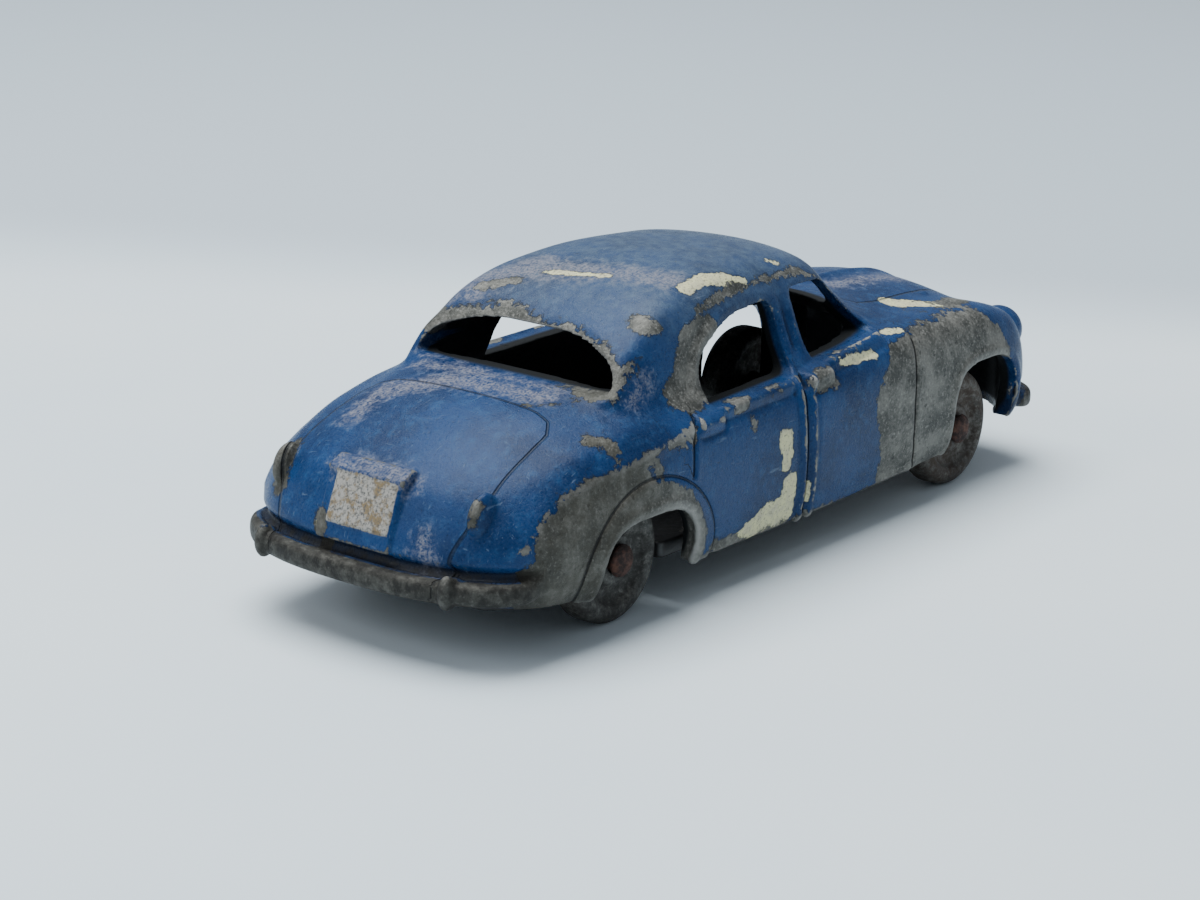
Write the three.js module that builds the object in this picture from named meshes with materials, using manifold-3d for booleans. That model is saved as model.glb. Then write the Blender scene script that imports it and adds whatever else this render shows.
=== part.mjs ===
// A pocket-size diecast saloon car: one cast body shell, a pressed base plate held by two spun
// rivets, and four cast wheels running on two headed steel axles.
// +X is the car's front, +Y its left, +Z up; Z = 0 is the ground and X = 0 is mid-length.
import * as THREE from 'three';
import { mergeVertices } from 'three/addons/utils/BufferGeometryUtils.js';
import Module from 'manifold-3d';

// ---- Driving dimensions (mm) ----
const WHEELBASE = 39.2;
const REAR_OVERHANG = 14.7;
const FRONT_OVERHANG = 11.2;
const WIDTH = 23.2;
const HEIGHT = 20;
const WALL = 1.2;

const WHEEL_RADIUS = 4.2;
const WHEEL_WIDTH = 2.5;
const REAR_WHEEL_INSET = 1.8;
const FRONT_WHEEL_INSET = 1.5;
const AXLE_RADIUS = 0.75;
const AXLE_HEAD_RADIUS = 1.05;
const AXLE_HEAD_HEIGHT = 0.55;
const RUNNING_GAP = 0.12;
const AXLE_END_PLAY = 0.2;
const HUB_RADIUS = 1.6;
const HUB_SET = 0.15;
const BAY_GAP = 0.9;
const BAY_SIDE_GAP = 0.7;
const WALL_RELIEF = 0.4;
const WALL_RELIEF_SIDE = 0.35;

const PLATE_THICKNESS = 1.1;
const PLATE_DROP = 0.3;
const PLATE_EDGE_GAP = 0.4;
const PLATE_CORNER = 2.2;
const LUG_THICKNESS = 1.3;
const LUG_LENGTH = 4.4;
const LUG_SIDE_GAP = 1.45;
const LUG_TOP = 13.4;

const RIVET_RADIUS = 0.9;
const RIVET_HEAD_RADIUS = 1.5;
const RIVET_HEAD_HEIGHT = 0.6;
const RIVET_DEPTH = 2.0;
const RIVET_HOLE_GAP = 0.15;
const BOSS_RADIUS = 1.7;

const BUMPER_HEIGHT = 1.9;
const BUMPER_REACH = 1.1;
const BUMPER_GAP = 0.35;
const BUMPER_LEVEL = 4.2;
const BUMPER_PROUD = 0.2;
const BUMPER_ROOT = 0.7;
const BUMPER_WRAP = 0.86;
const BUMPER_STEPS = 12;
const OVERRIDER_WIDTH = 1.3;
const OVERRIDER_HEIGHT = 3.0;
const OVERRIDER_DROP = 0.3;
const OVERRIDER_STAND = 0.5;
const OVERRIDER_ROOT = 1.6;
const OVERRIDER_TURN = 0.4;

// ---- Places that follow from them ----
const LENGTH = REAR_OVERHANG + WHEELBASE + FRONT_OVERHANG;
const HALF_WIDTH = WIDTH / 2;
const TAIL_X = -LENGTH / 2;
const NOSE_X = LENGTH / 2;
const REAR_AXLE_X = TAIL_X + REAR_OVERHANG;
const FRONT_AXLE_X = NOSE_X - FRONT_OVERHANG;
const REAR_TRACK = WIDTH - 2 * REAR_WHEEL_INSET;
const FRONT_TRACK = WIDTH - 2 * FRONT_WHEEL_INSET;
const WHEEL_INNER_FACE = REAR_TRACK / 2 - WHEEL_WIDTH;
const NARROW_HALF = WHEEL_INNER_FACE - BAY_SIDE_GAP;
const LUG_OFFSET = WHEEL_INNER_FACE - LUG_SIDE_GAP - LUG_THICKNESS / 2;
const AXLE_Z = WHEEL_RADIUS;
const PLATE_TOP = AXLE_Z - PLATE_DROP;
const PLATE_BOTTOM = PLATE_TOP - PLATE_THICKNESS;
const WHEEL_ROUND = 32;
const SMALL_ROUND = 16;

// ---- The lines drawing ----
// The body lines are drawn in millimetres on a car of this size and stretched to the one above.
const DRAWN = { tail: -31.9, rearAxle: -17.2, frontAxle: 22, nose: 33.2, halfWidth: 11.6, height: 20 };
const drawnPlaces = [DRAWN.tail, DRAWN.rearAxle, DRAWN.frontAxle, DRAWN.nose];
const realPlaces = [TAIL_X, REAR_AXLE_X, FRONT_AXLE_X, NOSE_X];
const stretchX = (x) => {
  const next = drawnPlaces.findIndex((place) => place > x);
  const i = next < 0 ? drawnPlaces.length - 2 : Math.max(next - 1, 0);
  const share = (x - drawnPlaces[i]) / (drawnPlaces[i + 1] - drawnPlaces[i]);
  return realPlaces[i] + share * (realPlaces[i + 1] - realPlaces[i]);
};
const stretchY = (y) => y * HALF_WIDTH / DRAWN.halfWidth;
const stretchZ = (z) => z * HEIGHT / DRAWN.height;

// Eight control lines run from tail to nose on each side, each as [x, distance out, height].
const LINES = {
  sill: [[-30.8, 10.6, 4.3], [-26, 10.8, 3.6], [-20, 10.8, 3.0], [-8, 10.9, 2.8], [8, 10.9, 2.9],
    [16, 10.9, 3.1], [24.5, 10.8, 3.6], [32.1, 10.2, 4.3]],
  flank: [[-30.8, 11.3, 5.2], [-26, 11.5, 4.6], [-20, 11.6, 4.3], [0, 11.6, 4.4], [16, 11.6, 4.5],
    [24.5, 11.5, 4.8], [32.1, 11.0, 5.4]],
  waist: [[-30.8, 10.9, 6.8], [-28.5, 11.2, 7.4], [-25, 11.5, 8.1], [-20, 11.75, 8.5],
    [0, 11.7, 8.5], [16, 11.7, 8.8], [24.5, 11.6, 8.8], [32.1, 11.2, 7.8]],
  shoulder: [[-30.8, 8.6, 7.2], [-28.5, 9.1, 8.9], [-25, 9.9, 10.7], [-21, 10.6, 11.9],
    [-16, 11.0, 12.5], [-10, 11.2, 12.3], [0, 11.2, 12.3], [12, 11.2, 12.9], [19, 10.9, 13.2],
    [24.5, 10.7, 13.1], [28.4, 10.4, 12.2], [32.1, 9.8, 9.9]],
  valley: [[-30.8, 7.0, 7.6], [-28.5, 7.4, 9.9], [-25, 8.0, 11.4], [-21, 8.5, 12.4],
    [-16, 8.9, 13.0], [-10, 8.9, 12.9], [0, 8.9, 12.9], [9, 8.8, 13.2], [14, 8.2, 13.3],
    [19, 7.2, 13.1], [24.5, 6.8, 12.6], [28.4, 6.4, 11.6], [32.1, 6.0, 9.4]],
  cant: [[-30.8, 5.4, 7.8], [-28.5, 5.6, 10.4], [-25, 6.2, 12.1], [-21, 6.6, 13.3],
    [-17.2, 7.6, 13.9], [-14.9, 8.4, 16.1], [-11.5, 8.5, 17.9], [-8, 8.2, 18.6], [-3, 7.7, 18.8],
    [3, 7.4, 18.6], [7.4, 7.3, 17.9], [9.5, 7.2, 16.3], [12.8, 7.0, 14.2], [15, 6.2, 13.9],
    [20, 5.2, 13.7], [24.5, 4.8, 13.2], [28.4, 4.4, 12.0], [32.1, 4.0, 9.6]],
  crown: [[-30.8, 3.0, 8.0], [-28.5, 3.2, 10.7], [-25, 3.6, 12.5], [-21, 4.0, 13.7],
    [-16.8, 4.9, 14.3], [-14.4, 5.7, 16.6], [-11.5, 6.0, 18.4], [-8, 5.8, 19.5], [-3, 5.4, 20.0],
    [3, 4.9, 19.7], [7.8, 4.9, 18.7], [10.5, 4.6, 16.9], [14, 4.0, 14.5], [16.5, 3.6, 14.2],
    [20, 3.0, 14.1], [24.5, 2.8, 13.6], [28.4, 2.6, 12.3], [32.1, 2.4, 9.8]],
  centre: [[-30.8, 0, 8.0], [-28.5, 0, 10.8], [-25, 0, 12.6], [-21, 0, 13.8], [-16.6, 0, 14.4],
    [-14.2, 0, 16.5], [-11.5, 0, 18.3], [-8, 0, 19.5], [-3, 0, 20.1], [3, 0, 19.9], [8, 0, 19.1],
    [11, 0, 17.2], [14.6, 0, 14.7], [17, 0, 14.4], [20, 0, 14.3], [24.5, 0, 13.8],
    [28.4, 0, 12.5], [32.1, 0, 9.9]],
};
const PLATE_FRONT = stretchX(27.4);
const PLATE_REAR = stretchX(-27.0);
const RIVETS_X = [(PLATE_REAR + REAR_AXLE_X) / 2, (FRONT_AXLE_X + AXLE_RADIUS + PLATE_FRONT) / 2];
const RIVET_BORE = RIVET_RADIUS + RIVET_HOLE_GAP;
const PLATE_HALF = stretchY(10.8) - WALL - PLATE_EDGE_GAP;

// How far each line moves in and down for the inside of the wall, as shares of WALL.
const INWARD = {
  sill: [1, 0], flank: [1, 0], waist: [1, 0], shoulder: [0.9, 0.7], valley: [0.7, 0.9],
  cant: [0.9, 0.6], crown: [0.3, 1], centre: [0, 1],
};
const BODY_TAIL = DRAWN.tail + BUMPER_REACH;
const BODY_NOSE = DRAWN.nose - BUMPER_REACH;
const END_LEVEL = 6.4;
const TAIL_PLAN = { length: 6.5, power: 2.6 };
const NOSE_PLAN = { length: 5.2, power: 3.2 };
const PROFILE_ROUND = { length: 1.9, power: 2.2 };

// Smooth curve through [x, value] points with no overshoot (monotone cubic).
function smoothLine(points, column, x) {
  const last = points.length - 1;
  if (x <= points[0][0]) return points[0][column];
  if (x >= points[last][0]) return points[last][column];
  const slope = (i) => (points[i + 1][column] - points[i][column]) / (points[i + 1][0] - points[i][0]);
  const tangent = (i) => {
    if (i === 0) return slope(0);
    if (i === last) return slope(last - 1);
    const [before, after] = [slope(i - 1), slope(i)];
    return before * after <= 0 ? 0 : 2 * before * after / (before + after);
  };
  const i = points.findIndex((p) => p[0] > x) - 1;
  const span = points[i + 1][0] - points[i][0];
  const t = (x - points[i][0]) / span;
  return points[i][column] * (1 + 2 * t) * (1 - t) ** 2 + points[i + 1][column] * t * t * (3 - 2 * t)
    + span * (tangent(i) * t * (1 - t) ** 2 - tangent(i + 1) * t * t * (1 - t));
}

// How much of the width or height is left this deep into an end that rounds off like a
// superellipse.
function endShare(depth, round) {
  const past = Math.min(Math.max(1 - depth / round.length, 0), 1);
  return (1 - past ** round.power) ** (1 / round.power);
}

// One cross-section of the body at x, from the left-hand sill over the roof to the right-hand
// sill. `inset` is the wall taken off: 0 for the outside, WALL for the inside.
function crossSection(x, inset, steps) {
  const tail = BODY_TAIL + inset;
  const nose = BODY_NOSE - inset;
  const drawn = BODY_TAIL + (x - tail) * (BODY_NOSE - BODY_TAIL) / (nose - tail);
  const wide = endShare(x - tail, TAIL_PLAN) * endShare(nose - x, NOSE_PLAN);
  const high = endShare(x - tail, PROFILE_ROUND) * endShare(nose - x, PROFILE_ROUND);
  const controls = Object.keys(LINES).map((name) => {
    const out = smoothLine(LINES[name], 1, drawn) - inset * INWARD[name][0];
    const up = smoothLine(LINES[name], 2, drawn) - inset * INWARD[name][1];
    const below = name === 'sill' && inset ? 2 : 0;
    return [out * wide, END_LEVEL + (up - below - END_LEVEL) * high];
  });
  controls[7][0] = 0;
  const mirrored = controls.slice(0, -1).reverse().map(([y, z]) => [-y, z]);
  const all = [...controls, ...mirrored];
  const padded = [all[0], all[0], ...all, all[all.length - 1], all[all.length - 1]];
  const spans = padded.length - 3;
  const section = [];
  for (let i = 0; i <= steps; i += 1) {
    const s = Math.min(i / steps * spans, spans - 1e-9);
    const k = Math.floor(s);
    const t = s - k;
    const weights = [(1 - t) ** 3, 3 * t ** 3 - 6 * t * t + 4, -3 * t ** 3 + 3 * t * t + 3 * t + 1, t ** 3];
    const y = weights.reduce((sum, w, j) => sum + w * padded[k + j][0], 0) / 6;
    const z = weights.reduce((sum, w, j) => sum + w * padded[k + j][1], 0) / 6;
    section.push([y, z]);
  }
  return section;
}

// ---- Solid helpers ----
const wasm = await Module();
wasm.setup();

function solid(geometry) {
  const bare = geometry.index ? geometry.toNonIndexed() : geometry.clone();
  bare.deleteAttribute('normal');
  bare.deleteAttribute('uv');
  const merged = mergeVertices(bare, 1e-5);
  return new wasm.Manifold(new wasm.Mesh({
    numProp: 3,
    vertProperties: new Float32Array(merged.attributes.position.array),
    triVerts: new Uint32Array(merged.index.array),
  }));
}

function geometryOf(manifold) {
  const mesh = manifold.getMesh();
  const geometry = new THREE.BufferGeometry();
  geometry.setAttribute('position', new THREE.BufferAttribute(new Float32Array(mesh.vertProperties), 3));
  geometry.setIndex(new THREE.BufferAttribute(new Uint32Array(mesh.triVerts), 1));
  geometry.computeVertexNormals();
  return geometry;
}

function box(x0, x1, y0, y1, z0, z1) {
  const geometry = new THREE.BoxGeometry(x1 - x0, y1 - y0, z1 - z0);
  return solid(geometry.translate((x0 + x1) / 2, (y0 + y1) / 2, (z0 + z1) / 2));
}

// Upright round bar from z0 to z1.
function post(x, radius, z0, z1) {
  const geometry = new THREE.CylinderGeometry(radius, radius, z1 - z0, SMALL_ROUND);
  return solid(geometry.rotateX(Math.PI / 2).translate(x, 0, (z0 + z1) / 2));
}

// Round bar along Y, centred on the car.
function crossBar(x, z, radius, length, sides = SMALL_ROUND) {
  return solid(new THREE.CylinderGeometry(radius, radius, length, sides).translate(x, 0, z));
}

const PLAIN_EXTRUDE = { bevelEnabled: false, curveSegments: 6 };

// Outline in the XZ plane, pushed along Y from y0 to y1.
function sideways(shape, y0, y1) {
  const geometry = new THREE.ExtrudeGeometry(shape, { ...PLAIN_EXTRUDE, depth: y1 - y0 });
  return solid(geometry.rotateX(Math.PI / 2).translate(0, y1, 0));
}

// Outline in the YZ plane, pushed along X from x0 to x1.
function lengthways(shape, x0, x1) {
  const geometry = new THREE.ExtrudeGeometry(shape, { ...PLAIN_EXTRUDE, depth: x1 - x0 });
  return solid(geometry.rotateX(Math.PI / 2).rotateZ(Math.PI / 2).translate(x0, 0, 0));
}

// ---- Body shell ----
const ringTurn = (i, count) => Math.sin((i / count - 0.5) * Math.PI);

// Closed loft through cross-sections, closer together towards the rounded ends.
function loft(inset, stationCount, steps) {
  const tail = BODY_TAIL + inset;
  const nose = BODY_NOSE - inset;
  const positions = [];
  const indices = [];
  const ring = steps + 1;
  const stations = [];
  for (let i = 1; i < stationCount; i += 1) {
    const even = i / stationCount;
    const packed = 0.5 + ringTurn(i, stationCount) / 2;
    stations.push(tail + (nose - tail) * (0.55 * packed + 0.45 * even));
  }
  positions.push(stretchX(tail), 0, stretchZ(END_LEVEL));
  for (const x of stations) {
    for (const [y, z] of crossSection(x, inset, steps)) positions.push(stretchX(x), stretchY(y), stretchZ(z));
  }
  positions.push(stretchX(nose), 0, stretchZ(END_LEVEL));
  const tip = positions.length / 3 - 1;
  const at = (s, i) => 1 + s * ring + (i % ring);
  for (let i = 0; i < ring; i += 1) {
    indices.push(0, at(0, i + 1), at(0, i));
    indices.push(tip, at(stations.length - 1, i), at(stations.length - 1, i + 1));
    for (let s = 0; s < stations.length - 1; s += 1) {
      indices.push(at(s, i), at(s, i + 1), at(s + 1, i));
      indices.push(at(s, i + 1), at(s + 1, i + 1), at(s + 1, i));
    }
  }
  const geometry = new THREE.BufferGeometry();
  geometry.setAttribute('position', new THREE.Float32BufferAttribute(positions, 3));
  geometry.setIndex(indices);
  return solid(geometry);
}

// Closed outline with rounded corners through drawn points; each is [x, up, corner radius].
// On a narrower or lower car the corners tighten with it, so that they never run together.
const CORNER_SCALE = Math.min(1, HALF_WIDTH / DRAWN.halfWidth, HEIGHT / DRAWN.height);
function roundedOutline(points, across, up) {
  const shape = new THREE.Shape();
  points.forEach(([a, b, radius], i) => {
    const here = new THREE.Vector2(across(a), up(b));
    const before = points[(i + points.length - 1) % points.length];
    const after = points[(i + 1) % points.length];
    const cut = radius * CORNER_SCALE;
    const back = new THREE.Vector2(across(before[0]), up(before[1])).sub(here).setLength(cut);
    const on = new THREE.Vector2(across(after[0]), up(after[1])).sub(here).setLength(cut);
    const start = here.clone().add(back);
    const end = here.clone().add(on);
    if (i === 0) shape.moveTo(start.x, start.y);
    else shape.lineTo(start.x, start.y);
    shape.quadraticCurveTo(here.x, here.y, end.x, end.y);
  });
  shape.closePath();
  return shape;
}

// Openings, drawn as [x or y, height, corner radius].
const REAR_SIDE_WINDOW = [[-8.3, 12.2, 0.5], [1.2, 12.4, 1.1], [1.2, 17.1, 0.9], [-3.8, 16.9, 2.0],
  [-7.9, 15.0, 1.6]];
const FRONT_SIDE_WINDOW = [[3.6, 12.7, 0.7], [12.0, 13.2, 0.8], [8.1, 17.2, 0.9], [3.6, 17.4, 0.7]];
const REAR_WINDOW = [[-7.7, 14.2, 0.5], [7.7, 14.2, 0.5], [7.1, 15.7, 1.1], [4.0, 16.8, 1.8],
  [-4.0, 16.8, 1.8], [-7.1, 15.7, 1.1]];
const WINDSCREEN = [[-6.3, 14.9, 0.8], [6.3, 14.9, 0.8], [5.9, 17.2, 1.0], [-5.9, 17.2, 1.0]];
const REAR_WINDOW_DEPTH = -9;
const WINDSCREEN_DEPTH = 7;
const WINDOW_REACH = 4;
// Wheel openings: how far ahead of the axle, half the length, and height above the axle.
const FRONT_ARCH = { ahead: 1.5, half: WHEEL_RADIUS + 0.2, rise: WHEEL_RADIUS + 0.9, corner: 3.4 };
const REAR_ARCH = { ahead: 1.0, half: WHEEL_RADIUS + 0.7, rise: WHEEL_RADIUS - 1.1, corner: 3.6 };

// The same opening through both sides of the body.
function bothSides(shape, reach) {
  return [sideways(shape, reach, HALF_WIDTH + 1), sideways(shape, -HALF_WIDTH - 1, -reach)];
}

function windows() {
  const side = [REAR_SIDE_WINDOW, FRONT_SIDE_WINDOW]
    .flatMap((points) => bothSides(roundedOutline(points, stretchX, stretchZ), WINDOW_REACH));
  return [
    ...side,
    lengthways(roundedOutline(REAR_WINDOW, stretchY, stretchZ), TAIL_X, stretchX(REAR_WINDOW_DEPTH)),
    lengthways(roundedOutline(WINDSCREEN, stretchY, stretchZ), stretchX(WINDSCREEN_DEPTH), NOSE_X),
  ];
}

function wheelArches() {
  const asIs = (value) => value;
  return [[FRONT_AXLE_X, FRONT_ARCH], [REAR_AXLE_X, REAR_ARCH]].flatMap(([axleX, arch]) => {
    const middle = axleX + arch.ahead;
    const top = AXLE_Z + arch.rise;
    const points = [[middle - arch.half, 0, 0.3], [middle + arch.half, 0, 0.3],
      [middle + arch.half, top, arch.corner], [middle - arch.half, top, arch.corner]];
    return bothSides(roundedOutline(points, asIs, asIs), NARROW_HALF);
  });
}

// Inside each wheel opening the wall is relieved, so that the wheel turns clear of it.
function wheelRelief(axleX, track) {
  const drum = crossBar(axleX, AXLE_Z, WHEEL_RADIUS + WALL_RELIEF, track + 2 * WALL_RELIEF_SIDE, WHEEL_ROUND);
  return drum.subtract(box(TAIL_X, NOSE_X, -NARROW_HALF, NARROW_HALF, -HEIGHT, HEIGHT));
}

// The bumper bars follow the plan of the body ends and run into the body at both sides.
function bumper(end) {
  const bodyEnd = end > 0 ? BODY_NOSE : -BODY_TAIL;
  const round = end > 0 ? NOSE_PLAN : TAIL_PLAN;
  const plan = (grow, half, turn) => {
    const angle = turn * Math.PI / 2;
    const power = 2 / round.power;
    const x = bodyEnd - round.length + (round.length + grow) * Math.cos(angle) ** power;
    const y = half * Math.abs(Math.sin(angle)) ** power * Math.sign(turn);
    return new THREE.Vector2(stretchX(end * x), stretchY(y));
  };
  const turns = [];
  for (let i = -BUMPER_STEPS; i <= BUMPER_STEPS; i += 1) turns.push(BUMPER_WRAP * i / BUMPER_STEPS);
  const face = turns.map((turn) => plan(BUMPER_REACH, DRAWN.halfWidth + BUMPER_PROUD, turn));
  const back = turns.map((turn) => plan(BUMPER_GAP, DRAWN.halfWidth - BUMPER_ROOT, turn)).reverse();
  const outline = new THREE.Shape([...face, ...back]);
  const bar = new THREE.ExtrudeGeometry(outline, { depth: BUMPER_HEIGHT, bevelEnabled: false });
  const overriderAt = plan(BUMPER_REACH, DRAWN.halfWidth, OVERRIDER_TURN);
  const foot = BUMPER_LEVEL - OVERRIDER_DROP;
  const inner = stretchX(end * (bodyEnd - OVERRIDER_ROOT));
  const outer = overriderAt.x + end * OVERRIDER_STAND;
  const pair = [1, -1].map((side) => box(
    Math.min(inner, outer), Math.max(inner, outer),
    side * overriderAt.y - OVERRIDER_WIDTH / 2, side * overriderAt.y + OVERRIDER_WIDTH / 2,
    foot, foot + OVERRIDER_HEIGHT,
  ));
  return [solid(bar.translate(0, 0, BUMPER_LEVEL)), ...pair];
}

// Rear number-plate plinth: a wedge on the boot that carries the plate nearly upright.
const PLINTH = [[-27.4, 10.9], [-28.7, 10.8], [-29.2, 10.0], [-30.3, 7.4], [-30.9, 6.3], [-29.4, 6.0],
  [-28.0, 7.0]];
const PLINTH_HALF_WIDTH = 2.7;
function plinth() {
  const outline = new THREE.Shape(PLINTH.map(([x, z]) => new THREE.Vector2(stretchX(x), stretchZ(z))));
  return sideways(outline, -PLINTH_HALF_WIDTH, PLINTH_HALF_WIDTH);
}

// Egg-shaped lamp cast on the body, centred at a drawn point.
function lamp(x, y, z, radii) {
  const ball = new THREE.SphereGeometry(1, 14, 10).scale(...radii);
  return solid(ball.translate(stretchX(x), stretchY(y), stretchZ(z)));
}
const TAIL_LAMP = { x: -28.2, y: 7.7, z: 8.9, radii: [1.0, 0.8, 1.3] };
const HEADLAMP = { x: 30.2, y: 8.1, z: 9.6, radii: [1.9, 1.8, 1.8] };

// Inner lugs that hang from the shell beside each axle and hold it down on the base plate.
function lug(axleX, side) {
  const y = side * LUG_OFFSET;
  const wall = box(axleX - LUG_LENGTH / 2, axleX + LUG_LENGTH / 2, y - LUG_THICKNESS / 2,
    y + LUG_THICKNESS / 2, PLATE_TOP, stretchZ(LUG_TOP));
  const notch = AXLE_RADIUS + RUNNING_GAP;
  return wall.subtract(crossBar(axleX, AXLE_Z, notch, WIDTH))
    .subtract(box(axleX - notch, axleX + notch, -HALF_WIDTH, HALF_WIDTH, 0, AXLE_Z));
}

const outside = loft(0, 36, 34);
const hollow = loft(WALL, 22, 22);
const inner = [
  ...[FRONT_AXLE_X, REAR_AXLE_X].flatMap((x) => [lug(x, 1), lug(x, -1)]),
  ...RIVETS_X.map((x) => post(x, BOSS_RADIUS, PLATE_TOP, HEIGHT)),
].map((piece) => piece.intersect(outside));
const outer = [
  ...bumper(1), ...bumper(-1), plinth(),
  ...[1, -1].flatMap((side) => [TAIL_LAMP, HEADLAMP].map((l) => lamp(l.x, side * l.y, l.z, l.radii))),
];

const join = (body, piece) => body.add(piece);
const cut = (body, piece) => body.subtract(piece);
const openings = [
  ...windows(),
  ...wheelArches(),
  wheelRelief(REAR_AXLE_X, REAR_TRACK),
  wheelRelief(FRONT_AXLE_X, FRONT_TRACK),
];
let bodyShell = openings.reduce(cut, outside.subtract(hollow));
bodyShell = [...inner, ...outer].reduce(join, bodyShell);
bodyShell = RIVETS_X.reduce(
  (body, x) => body.subtract(post(x, RIVET_BORE, 0, PLATE_TOP + RIVET_DEPTH + RIVET_HOLE_GAP)),
  bodyShell,
);

// ---- Base plate ----
function basePlate() {
  const wheelBay = WHEEL_RADIUS + BAY_GAP;
  const edge = [
    [PLATE_REAR, PLATE_HALF - PLATE_CORNER], [PLATE_REAR + PLATE_CORNER, PLATE_HALF],
    [REAR_AXLE_X - wheelBay, PLATE_HALF], [REAR_AXLE_X - wheelBay, NARROW_HALF],
    [REAR_AXLE_X + wheelBay, NARROW_HALF], [REAR_AXLE_X + wheelBay, PLATE_HALF],
    [FRONT_AXLE_X - wheelBay, PLATE_HALF], [FRONT_AXLE_X - wheelBay, NARROW_HALF],
    [PLATE_FRONT, NARROW_HALF],
  ];
  const points = [...edge, ...edge.slice().reverse().map(([x, y]) => [x, -y])];
  const shape = new THREE.Shape(points.map(([x, y]) => new THREE.Vector2(x, y)));
  const sheet = new THREE.ExtrudeGeometry(shape, { depth: PLATE_THICKNESS, bevelEnabled: false });
  let plate = solid(sheet.translate(0, 0, PLATE_BOTTOM));
  for (const x of [FRONT_AXLE_X, REAR_AXLE_X]) {
    plate = plate.subtract(crossBar(x, AXLE_Z, AXLE_RADIUS + RUNNING_GAP, WIDTH));
  }
  for (const x of RIVETS_X) {
    plate = plate.subtract(post(x, RIVET_BORE, 0, HEIGHT));
  }
  return plate;
}

// ---- Rivets: a stud up into the boss, spun over to a domed head under the plate ----
function rivet(x) {
  const top = PLATE_TOP + RIVET_DEPTH;
  const low = PLATE_BOTTOM - RIVET_HEAD_HEIGHT;
  const profile = [[0, low], [RIVET_HEAD_RADIUS * 0.6, low + 0.1], [RIVET_HEAD_RADIUS, low + 0.35],
    [RIVET_HEAD_RADIUS, PLATE_BOTTOM], [RIVET_RADIUS, PLATE_BOTTOM], [RIVET_RADIUS, top], [0, top]];
  const geometry = new THREE.LatheGeometry(profile.map(([r, z]) => new THREE.Vector2(r, z)), SMALL_ROUND);
  return solid(geometry.rotateX(Math.PI / 2).translate(x, 0, 0));
}

// ---- Running gear ----
// One-piece cast wheel: tyre, recessed disc and hub, outer face towards +Y.
function wheel() {
  const half = WHEEL_WIDTH / 2;
  const bore = AXLE_RADIUS + RUNNING_GAP;
  const R = WHEEL_RADIUS;
  const profile = [[bore, -half + 0.3], [R - 1.3, -half + 0.3], [R - 1.0, -half], [R - 0.5, -half],
    [R, -half + 0.5], [R, half - 0.6], [R - 0.25, half - 0.2], [R - 0.8, half], [R - 1.2, half - 0.15],
    [R - 1.5, half - 0.6], [HUB_RADIUS + 0.2, half - 0.6], [HUB_RADIUS, half - HUB_SET],
    [bore, half - HUB_SET], [bore, -half + 0.3]];
  return solid(new THREE.LatheGeometry(profile.map(([r, y]) => new THREE.Vector2(r, y)), WHEEL_ROUND));
}

// Headed steel pin along Y; the heads keep the wheels on.
function axle(track) {
  const shank = track / 2 - HUB_SET + AXLE_END_PLAY;
  const R = AXLE_HEAD_RADIUS;
  const half = [[AXLE_RADIUS, shank], [R, shank], [R, shank + AXLE_HEAD_HEIGHT * 0.4],
    [R * 0.7, shank + AXLE_HEAD_HEIGHT * 0.85], [0, shank + AXLE_HEAD_HEIGHT]];
  const profile = [...half.slice().reverse().map(([r, y]) => [r, -y]), ...half];
  return solid(new THREE.LatheGeometry(profile.map(([r, y]) => new THREE.Vector2(r, y)), SMALL_ROUND));
}

// ---- Assembly ----
const finishes = {
  paint: new THREE.MeshStandardMaterial({ color: 0x3d6796, roughness: 0.45, metalness: 0.35 }),
  zinc: new THREE.MeshStandardMaterial({ color: 0x7b7c77, roughness: 0.6, metalness: 0.7 }),
  rustySteel: new THREE.MeshStandardMaterial({ color: 0x6b3a2c, roughness: 0.8, metalness: 0.4 }),
  blackPlate: new THREE.MeshStandardMaterial({ color: 0x1d1e20, roughness: 0.6, metalness: 0.5 }),
};

const car = new THREE.Group();
function add(name, manifold, finish, place = [0, 0, 0], turn = 0) {
  const mesh = new THREE.Mesh(geometryOf(manifold), finish);
  mesh.name = name;
  mesh.position.set(...place);
  mesh.rotation.x = turn;
  car.add(mesh);
}

add('body_shell', bodyShell, finishes.paint);
add('base_plate', basePlate(), finishes.blackPlate);
add('rear_rivet', rivet(RIVETS_X[0]), finishes.zinc);
add('front_rivet', rivet(RIVETS_X[1]), finishes.zinc);
for (const [end, x, track] of [['rear', REAR_AXLE_X, REAR_TRACK], ['front', FRONT_AXLE_X, FRONT_TRACK]]) {
  add(`${end}_axle`, axle(track), finishes.rustySteel, [x, 0, AXLE_Z]);
  const wheelY = (track - WHEEL_WIDTH) / 2;
  add(`${end}_left_wheel`, wheel(), finishes.zinc, [x, wheelY, AXLE_Z]);
  add(`${end}_right_wheel`, wheel(), finishes.zinc, [x, -wheelY, AXLE_Z], Math.PI);
}

export default car;
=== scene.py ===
"""A pocket-size diecast saloon, long played with: chipped blue enamel over grey zinc.

The sizes are in millimetres and each finished mesh is scaled to metres. +X is the car's front,
+Y its left and +Z up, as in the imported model.
"""

import math

import bmesh
import bpy
import numpy as np
from mathutils import Matrix, Vector
from mathutils.kdtree import KDTree


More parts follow.
